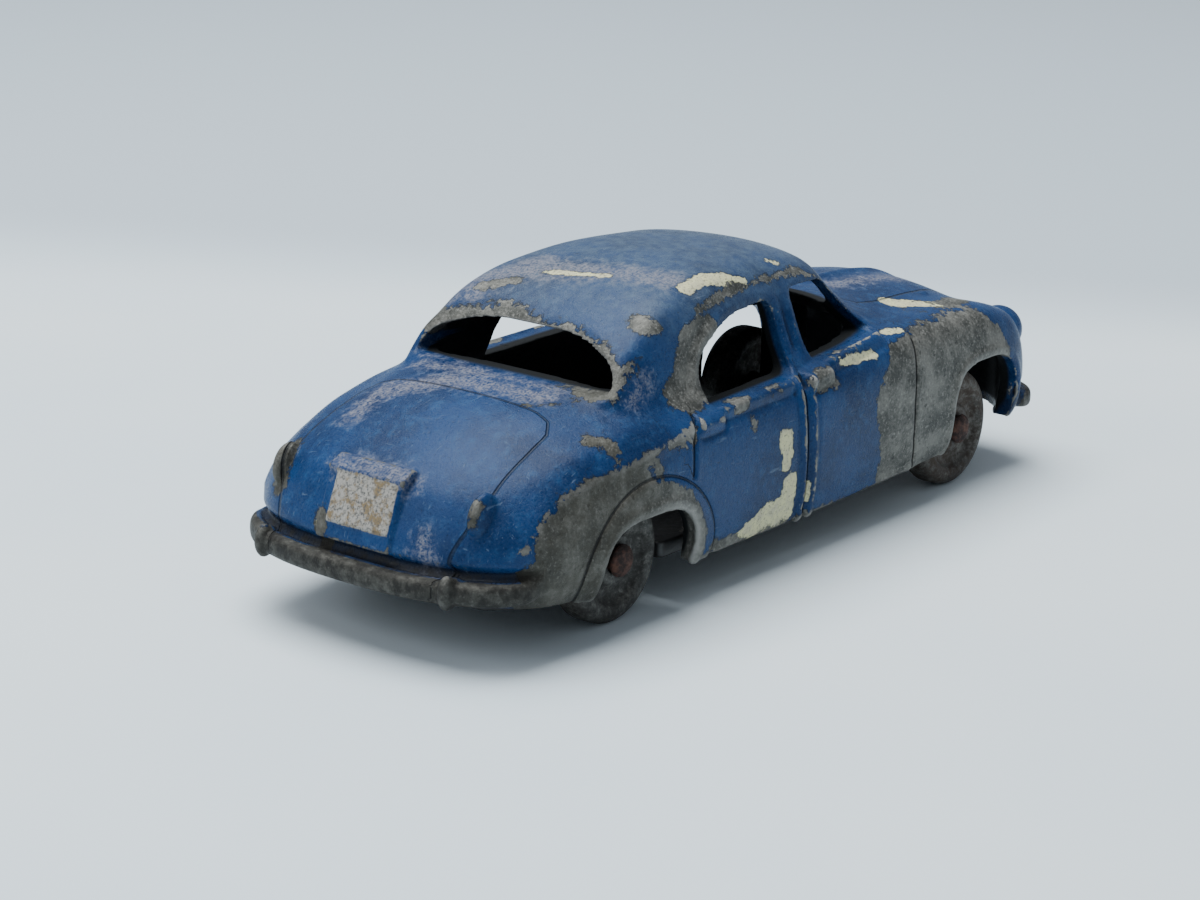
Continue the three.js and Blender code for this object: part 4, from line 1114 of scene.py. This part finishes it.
# ---- Table top, light and camera ----
# A wide pale table top, bluer and darker beyond a soft line behind the car, with one large
# overhead light and a weaker one behind. The camera stands low behind the car.
FAR_LINE = ((0.0223, 0.0936), (0.0728, -0.0031))
bm = bmesh.new()
bmesh.ops.create_grid(bm, x_segments=1, y_segments=1, size=4)
floor = mesh_object("table_top", bm)
pale, tree, place = new_tree("pale_table")
east, north, _ = axes(tree, place)
(near_x, near_y), (far_x, far_y) = FAR_LINE
run = math.hypot(far_x - near_x, far_y - near_y)
across_x, across_y = (near_y - far_y) / run, (far_x - near_x) / run
line_at = (near_x * across_x + near_y * across_y) / MM
beyond = maths(tree, "MULTIPLY_ADD", north, across_y, times(tree, east, across_x))
smear = speckle(tree, place, 0.02, 3.0, 0.5)
table = mixed(tree, ramp(tree, smear, 0.3, 0.7), (0.69, 0.785, 0.85), (0.75, 0.825, 0.865))
behind = ramp(tree, beyond, line_at - 12, line_at + 22)
table = mixed(tree, behind, table, (0.50, 0.575, 0.64))
surface_looks(tree, {"Base Color": table, "Roughness": 0.5})
floor.data.materials.append(pale)

world = bpy.data.worlds.new("studio")
bpy.context.scene.world = world
world.use_nodes = True
sky = world.node_tree.nodes["Background"].inputs
sky["Color"].default_value = (0.80, 0.87, 0.95, 1)
sky["Strength"].default_value = 0.42


def panel_light(name, place, aim, size, power, colour):
    data = bpy.data.lights.new(name, "AREA")
    data.shape = "RECTANGLE"
    data.size, data.size_y = size
    data.energy = power
    data.color = colour
    light = bpy.data.objects.new(name, data)
    light.location = place
    light.rotation_euler = (Vector(aim) - Vector(place)).to_track_quat("-Z", "Y").to_euler()
    bpy.context.scene.collection.objects.link(light)


panel_light("overhead", (0.0, 0.10, 0.42), (0, 0, 0), (0.42, 0.36), 3.9, (0.93, 0.98, 1.0))
panel_light("tail_side", (-0.4, 0.15, 0.28), (-0.02, 0, 0.01), (0.25, 0.25), 0.7, (0.93, 0.97, 1.0))

# The camera stands 205 mm off, behind and to the right, and looks down at about 17 degrees.
AZIMUTH, ELEVATION, ROLL = (math.radians(a) for a in (-52.23, 16.74, 1.21))
DISTANCE, ACROSS, RAISE = 205.16, -5.64, -2.94
SENSOR_WIDTH, LENS = 36, 90.15
towards = Vector((math.sin(AZIMUTH) * math.cos(ELEVATION), -math.cos(AZIMUTH) * math.cos(ELEVATION),
                  math.sin(ELEVATION)))
level = Vector((math.cos(AZIMUTH), math.sin(AZIMUTH), 0))
upright = towards.cross(level)
across = level * math.cos(ROLL) + upright * math.sin(ROLL)
upwards = upright * math.cos(ROLL) - level * math.sin(ROLL)
spot = Vector((1.75, 0, 8)) + towards * DISTANCE + across * ACROSS + upwards * RAISE
camera_data = bpy.data.cameras.new("camera")
camera_data.sensor_width = SENSOR_WIDTH
camera_data.lens = LENS
camera_data.clip_start = 0.005
camera = bpy.data.objects.new("camera", camera_data)
turn = Matrix((across, upwards, towards)).transposed().to_4x4()
camera.matrix_world = Matrix.Translation(spot * MM) @ turn
bpy.context.scene.collection.objects.link(camera)
bpy.context.scene.camera = camera
